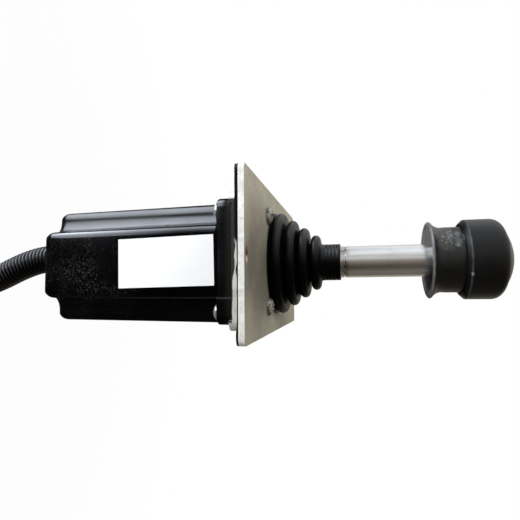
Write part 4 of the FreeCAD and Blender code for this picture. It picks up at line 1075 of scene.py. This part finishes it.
# ---------------------------------------------------------------- studio
def make_floor():
    """White to the camera, pale paper to the light, dark in reflections."""
    floor_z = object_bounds()[0].z - 0.012
    half = 4.0
    mesh = bpy.data.meshes.new("floor")
    corners = [(-half, -half, floor_z), (half, -half, floor_z), (half, half, floor_z), (-half, half, floor_z)]
    mesh.from_pydata(corners, [], [(0, 1, 2, 3)])
    s = Shade("floor_paper", Roughness=0.9, Base_Color=(0.86, 0.86, 0.86, 1))
    glow = s.add("ShaderNodeEmission", {"Color": (1, 1, 1, 1)}).outputs[0]
    dim = s.add("ShaderNodeEmission", {"Color": (0.016, 0.015, 0.014, 1)}).outputs[0]
    reflected = s.add("ShaderNodeLightPath").outputs["Is Glossy Ray"]
    paper = s.mix_shaders(reflected, s.bsdf.outputs[0], dim)
    white = s.product(s.seen_directly(), s.span(s.distance((0, 0, floor_z)), 0.25, 1.00, 0.93, 1.0))
    s.link(s.mix_shaders(white, paper, glow), s.tree.nodes["Material Output"].inputs["Surface"])
    mesh.materials.append(s.material)
    add_object("floor", mesh)


def make_world():
    """A room that is bright above the part in the photograph and dark below and behind it."""
    world = bpy.data.worlds.new("world")
    bpy.context.scene.world = world
    world.use_nodes = True
    w = Tree(world.node_tree)
    room = w.tree.nodes["Background"]
    around = w.add("ShaderNodeTexCoord").outputs["Generated"]
    parts = w.add("ShaderNodeSeparateXYZ", {0: around}).outputs
    ramp = w.add("ShaderNodeValToRGB", {0: w.span(parts["X"], -1.0, 1.0)})
    stops = [(0.00, (0.68, 0.73, 0.79)), (0.06, (0.95, 0.98, 1.0)), (0.20, (0.62, 0.635, 0.66)),
             (0.36, (0.56, 0.55, 0.54)), (0.45, (0.36, 0.34, 0.31)), (0.51, (0.20, 0.185, 0.16)),
             (0.62, (0.150, 0.128, 0.105)), (0.85, (0.050, 0.040, 0.032)), (1.00, (0.15, 0.135, 0.12))]
    ramp.color_ramp.elements[0].color = (*stops[0][1], 1)
    ramp.color_ramp.elements[1].color = (*stops[-1][1], 1)
    for place, colour in stops[1:-1]:
        ramp.color_ramp.elements.new(place).color = (*colour, 1)
    backdrop = w.span(parts["Y"], 0.40, 0.90, 0.0, 0.70)
    w.link(w.blend(backdrop, ramp.outputs[0], (0.60, 0.55, 0.48)), room.inputs["Color"])
    w.link(w.span(parts["Z"], -0.42, -0.05, 0.10, 1.3), room.inputs["Strength"])
    white = w.add("ShaderNodeBackground", {"Color": (1, 1, 1, 1), "Strength": 1.0}).outputs[0]
    seen = w.mix_shaders(w.seen_directly(), room.outputs[0], white)
    w.link(seen, w.tree.nodes["World Output"].inputs["Surface"])


def make_lamps():
    """Name, place, aim, width, height, watts, seen in reflections, colour."""
    for name, place, aim, wide, high, power, gloss, colour in (
        ("window", (-0.38, -0.21, -0.30), (-0.02, -0.02, -0.07), 0.64, 0.34, 4.6, True, (0.84, 0.90, 1.0)),
        ("front", (0.05, -0.85, -0.25), (0, 0, -0.02), 0.60, 0.60, 1.75, False, (1.0, 0.97, 0.92)),
        ("side", (-0.45, -0.25, 0.55), (0, 0, 0.02), 0.30, 0.30, 2.3, False, (1.0, 0.99, 0.97)),
    ):
        data = bpy.data.lights.new(name, "AREA")
        data.shape = "RECTANGLE"
        data.size = wide
        data.size_y = high
        data.energy = power
        data.color = colour
        lamp = add_object(name, data)
        lamp.location = place
        lamp.rotation_euler = (Vector(aim) - Vector(place)).to_track_quat("-Z", "Y").to_euler()
        lamp.visible_glossy = gloss
        lamp.visible_camera = False


make_floor()
make_world()
make_lamps()
bpy.context.scene.view_settings.view_transform = "Standard"
